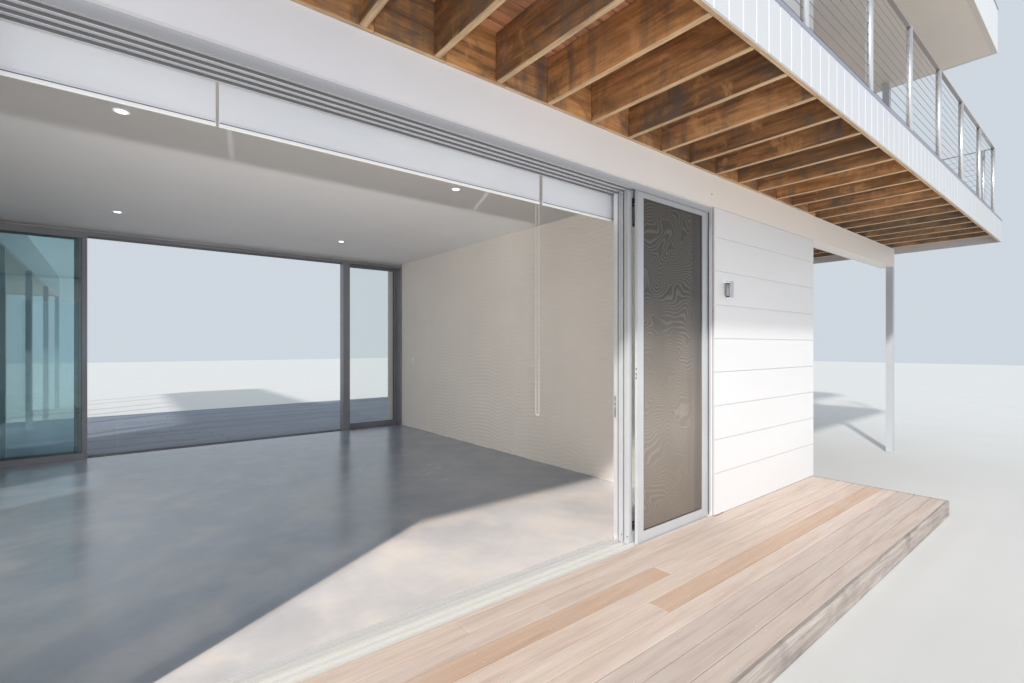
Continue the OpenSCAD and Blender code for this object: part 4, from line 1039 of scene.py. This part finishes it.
def panel(name, key, slot):
    """Sliding panel: stiles, rails, beads, rollers, end plugs and the pane's rubber."""
    lo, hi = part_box(name + "_slider")
    g0, g1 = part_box(name + "_glass")
    bottom, axle, plug = lo.z + 0.0077, lo.z + 0.0077 + 0.0043, FLOOR + 0.05
    y0, y1, m = lo.y, hi.y, (lo.y + hi.y) / 2
    low, high, inside = g0.z - BEADING, g1.z + BEADING, (y0 + STEP, y1 - STEP)
    bars, wheels, plugs, seal = shapes(4)
    for x, s, inner in ((lo.x, 1, g0.x), (hi.x, -1, g1.x)):
        w = abs(inner - x) - BEADING
        bars.prism([(x + s * u, v)
            for u, v in ((ROUND, y0), (w, y0), (w, y1), (ROUND, y1), (0, y1 - ROUND),
                (0, m + 0.004), (0.003, m + 0.004), (0.003, m - 0.004), (0, m - 0.004),
                (0, y0 + ROUND))],
            "Z", (bottom, hi.z), 0.3)
        bars.board(sorted((x + s * (w + SEAT), inner)), inside, (low, high), 0.0012, 0.5)
        plugs.rod((x - s * SEAT, m - 0.0105, plug), (x + s * 0.002, m - 0.0105, plug), 0.0055, 14)
        at = x + s * 0.15
        wheels.rod((at, m - 0.005, axle), (at, m + 0.005, axle), 0.012, 24)
        wheels.rod((at, m - 0.009, axle), (at, m + 0.009, axle), 0.003, 10)
    for z, strip in (((bottom, low), (low + SEAT, g0.z)), ((high, hi.z), (g1.z, high - SEAT))):
        bars.board((g0.x - BEADING + SEAT, g1.x + BEADING - SEAT), (y0 + 0.0002, y1 - 0.0002), z,
            0.0012, 0.35)
        bars.board((g0.x + SEAT, g1.x - SEAT), inside, strip, 0.0012, 0.55)
    ring(seal, g0, g1, 0.005, 0.004)
    body = name + "_door"
    bars.make(name + "_bars", slot, key, body, replaces=[name + "_slider"])
    wheels.make(name + "_rollers", "stainless_steel", "fixings", body)
    plugs.make(name + "_plugs", slot, "black", body)
    seal.make(name + "_gasket", slot, "dark", body)


for side, parts, key in (("front", "left inner outer", "silver"),
        ("rear", "inner middle outer", "grey")):
    for part in parts.split():
        panel(f"{side}_{part}", key, key + "_aluminium")

lo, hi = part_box("front_inner_slider")
strike, y = Shape(), hi.y + 0.036
for z0, z1 in ((0.97, 1.05), (1.06, 1.09), (1.10, 1.14)):
    strike.board((lo.x - 0.0012, lo.x + 0.0005), (y - 0.0045, y + 0.0045), (FLOOR + z0, FLOOR + z1),
        0.0003)
strike.make("front_strike", "silver_aluminium", "dark")

lo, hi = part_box("screen_door")
seal, mid = Shape(), (lo.y + hi.y) / 2
ring(seal, *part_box("screen_mesh"), 0.007, 0.003)
for z in (FLOOR + 1.29, FLOOR + 1.32, FLOOR + 1.36):
    seal.board((lo.x - 0.0006, lo.x + 0.0004), (mid - 0.004, mid + 0.004), (z - 0.008, z + 0.008),
        0.0002)
seal.make("screen_spline", "grey_aluminium", "black", "screen")

# Gaskets round each connected pane of the fixed glass
fixed, bm = Shape(), bmesh.new()
bm.from_mesh(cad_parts["fixed_glass"].data)
left = set(bm.verts)
for seed in bm.verts:
    stack, pane = [seed] if seed in left else [], []
    left.discard(seed)
    while stack:
        v = stack.pop()
        pane.append(v.co)
        near = {e.other_vert(v) for e in v.link_edges} & left
        left -= near
        stack += near
    if pane:
        ring(fixed, *(Vector([pick(c[k] for c in pane) for k in range(3)]) for pick in (min, max)),
            0.005, 0.004)
bm.free()
fixed.make("fixed_gaskets", "grey_aluminium", "black")

# --- seals in the tracks
WEB, TRACK, SEAL = 0.004, 0.052, 0.004
seals = Shape()
for start, out, head in ((door_lo.y, 1, HEAD), (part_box("rear_door_frame")[1].y, -1, REAR_HEAD)):
    for i in range(4):
        reach = ROOM - (0.211 if out > 0 and i == 0 else 0.031)
        for edge in (WEB + i * (TRACK + WEB), (i + 1) * (TRACK + WEB) - SEAL):
            y = sorted((start + out * edge, start + out * (edge + SEAL)))
            seals.board((-reach, reach), y, (head - 0.049, head - 0.036), 0.0005, 0.5)
seals.make("track_seals", "grey_aluminium", "seal")
stop, y = Shape(), door_lo.y
stop.board((ROOM - 0.2125, ROOM - 0.2108), (y + 0.0008, y + 0.0115), (FLOOR + 0.012, HEAD - 0.052),
    0.0004)
stop.make("screen_stop", "grey_aluminium", "dark")

# --- verandah
lo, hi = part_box("verandah_roof")
RAFTER, SHEET_RIB = 0.045, 0.2
x, y = [inset((lo[k], hi[k]), RAFTER) for k in (0, 1)]
beams, lining, ribbed = shapes(3)
for pair in ((lo.x, x[0]), (x[1], hi.x)):
    beams.board(pair, (lo.y, hi.y), (lo.z, hi.z), 0.003)
for pair in ((lo.y, y[0]), (y[1], hi.y)):
    beams.board(x, pair, (lo.z, hi.z), 0.003)
beams.make("verandah_beams", "white_paint", "white", replaces=["verandah_roof"])
lining.board(x, y, (lo.z + 0.03, lo.z + 0.05), 0.001)
lining.make("verandah_soffit", "soffit_paint", "soffit")
v = y[0]
while v < y[1] - 0.01:
    ribbed.board(x, (v, min(v + SHEET_RIB, y[1])), (hi.z - 0.06, hi.z - 0.045), 0.001)
    ribbed.board(x, (v, v + 0.03), (hi.z - 0.046, hi.z - 0.02), 0.006)
    v = min(v + SHEET_RIB, y[1])
ribbed.make("verandah_sheet", "roof_sheet", "roofing")

# --- roof sheet
lo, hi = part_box("roof_slab")
RIB, RIB_PITCH, SWAGE = 0.03, 0.4, (0.008, 0.004, 0.003)
top = hi.z - RIB
sheet, base = shapes(2)
base.board((lo.x, hi.x), (lo.y, hi.y), (lo.z, top - 0.002), 0.0, 0.5)
outline = [(lo.x, top)]
x = lo.x + RIB_PITCH / 2
while x < hi.x - 0.1:
    for at, foot, crown, rise in ((0, 0.018, 0.012, RIB), (0.14, *SWAGE), (0.26, *SWAGE)):
        outline += [(x + at + u, top + v)
            for u, v in ((-foot, 0), (-crown, rise), (crown, rise), (foot, 0))]
    x += RIB_PITCH
while outline[-1][0] > hi.x - 0.01:
    outline.pop()
outline.append((hi.x, top))
sheet.grid([[(px, y, pz) for px, pz in outline] for y in (lo.y, hi.y)], 0.5, smooth=False)
sheet.make("roof_sheet", "roof_sheet", "roofing", replaces=["roof_slab"], closed=False)
base.make("roof_deck", "ceiling_paint", "ceiling")

# --- stage floor
mesh = bpy.data.meshes.new("floor")
mesh.from_pydata([(-60, -60, 0), (60, -60, 0), (60, 60, 0), (-60, 60, 0)], [], [(0, 1, 2, 3)])
ground = new_object("floor", mesh)
ground.location.z = -0.002
mesh.materials.append(paint("pale_floor", (0.74, 0.74, 0.73), 0.8, 0.0, 0.02))
link(low_lamp, "receiver", "upper_floor", "floor", state="EXCLUDE")
link(front_lamp, "receiver", "floor", state="EXCLUDE")
link(wall_lamp, "receiver", "upper_floor", state="EXCLUDE")
link(ceiling_lamp, "blocker", "front_door_frame", "fixed_glass", "front_left_glass",
    "front_left_bars", "front_left_gasket", "fixed_gaskets", "track_seals", state="EXCLUDE")
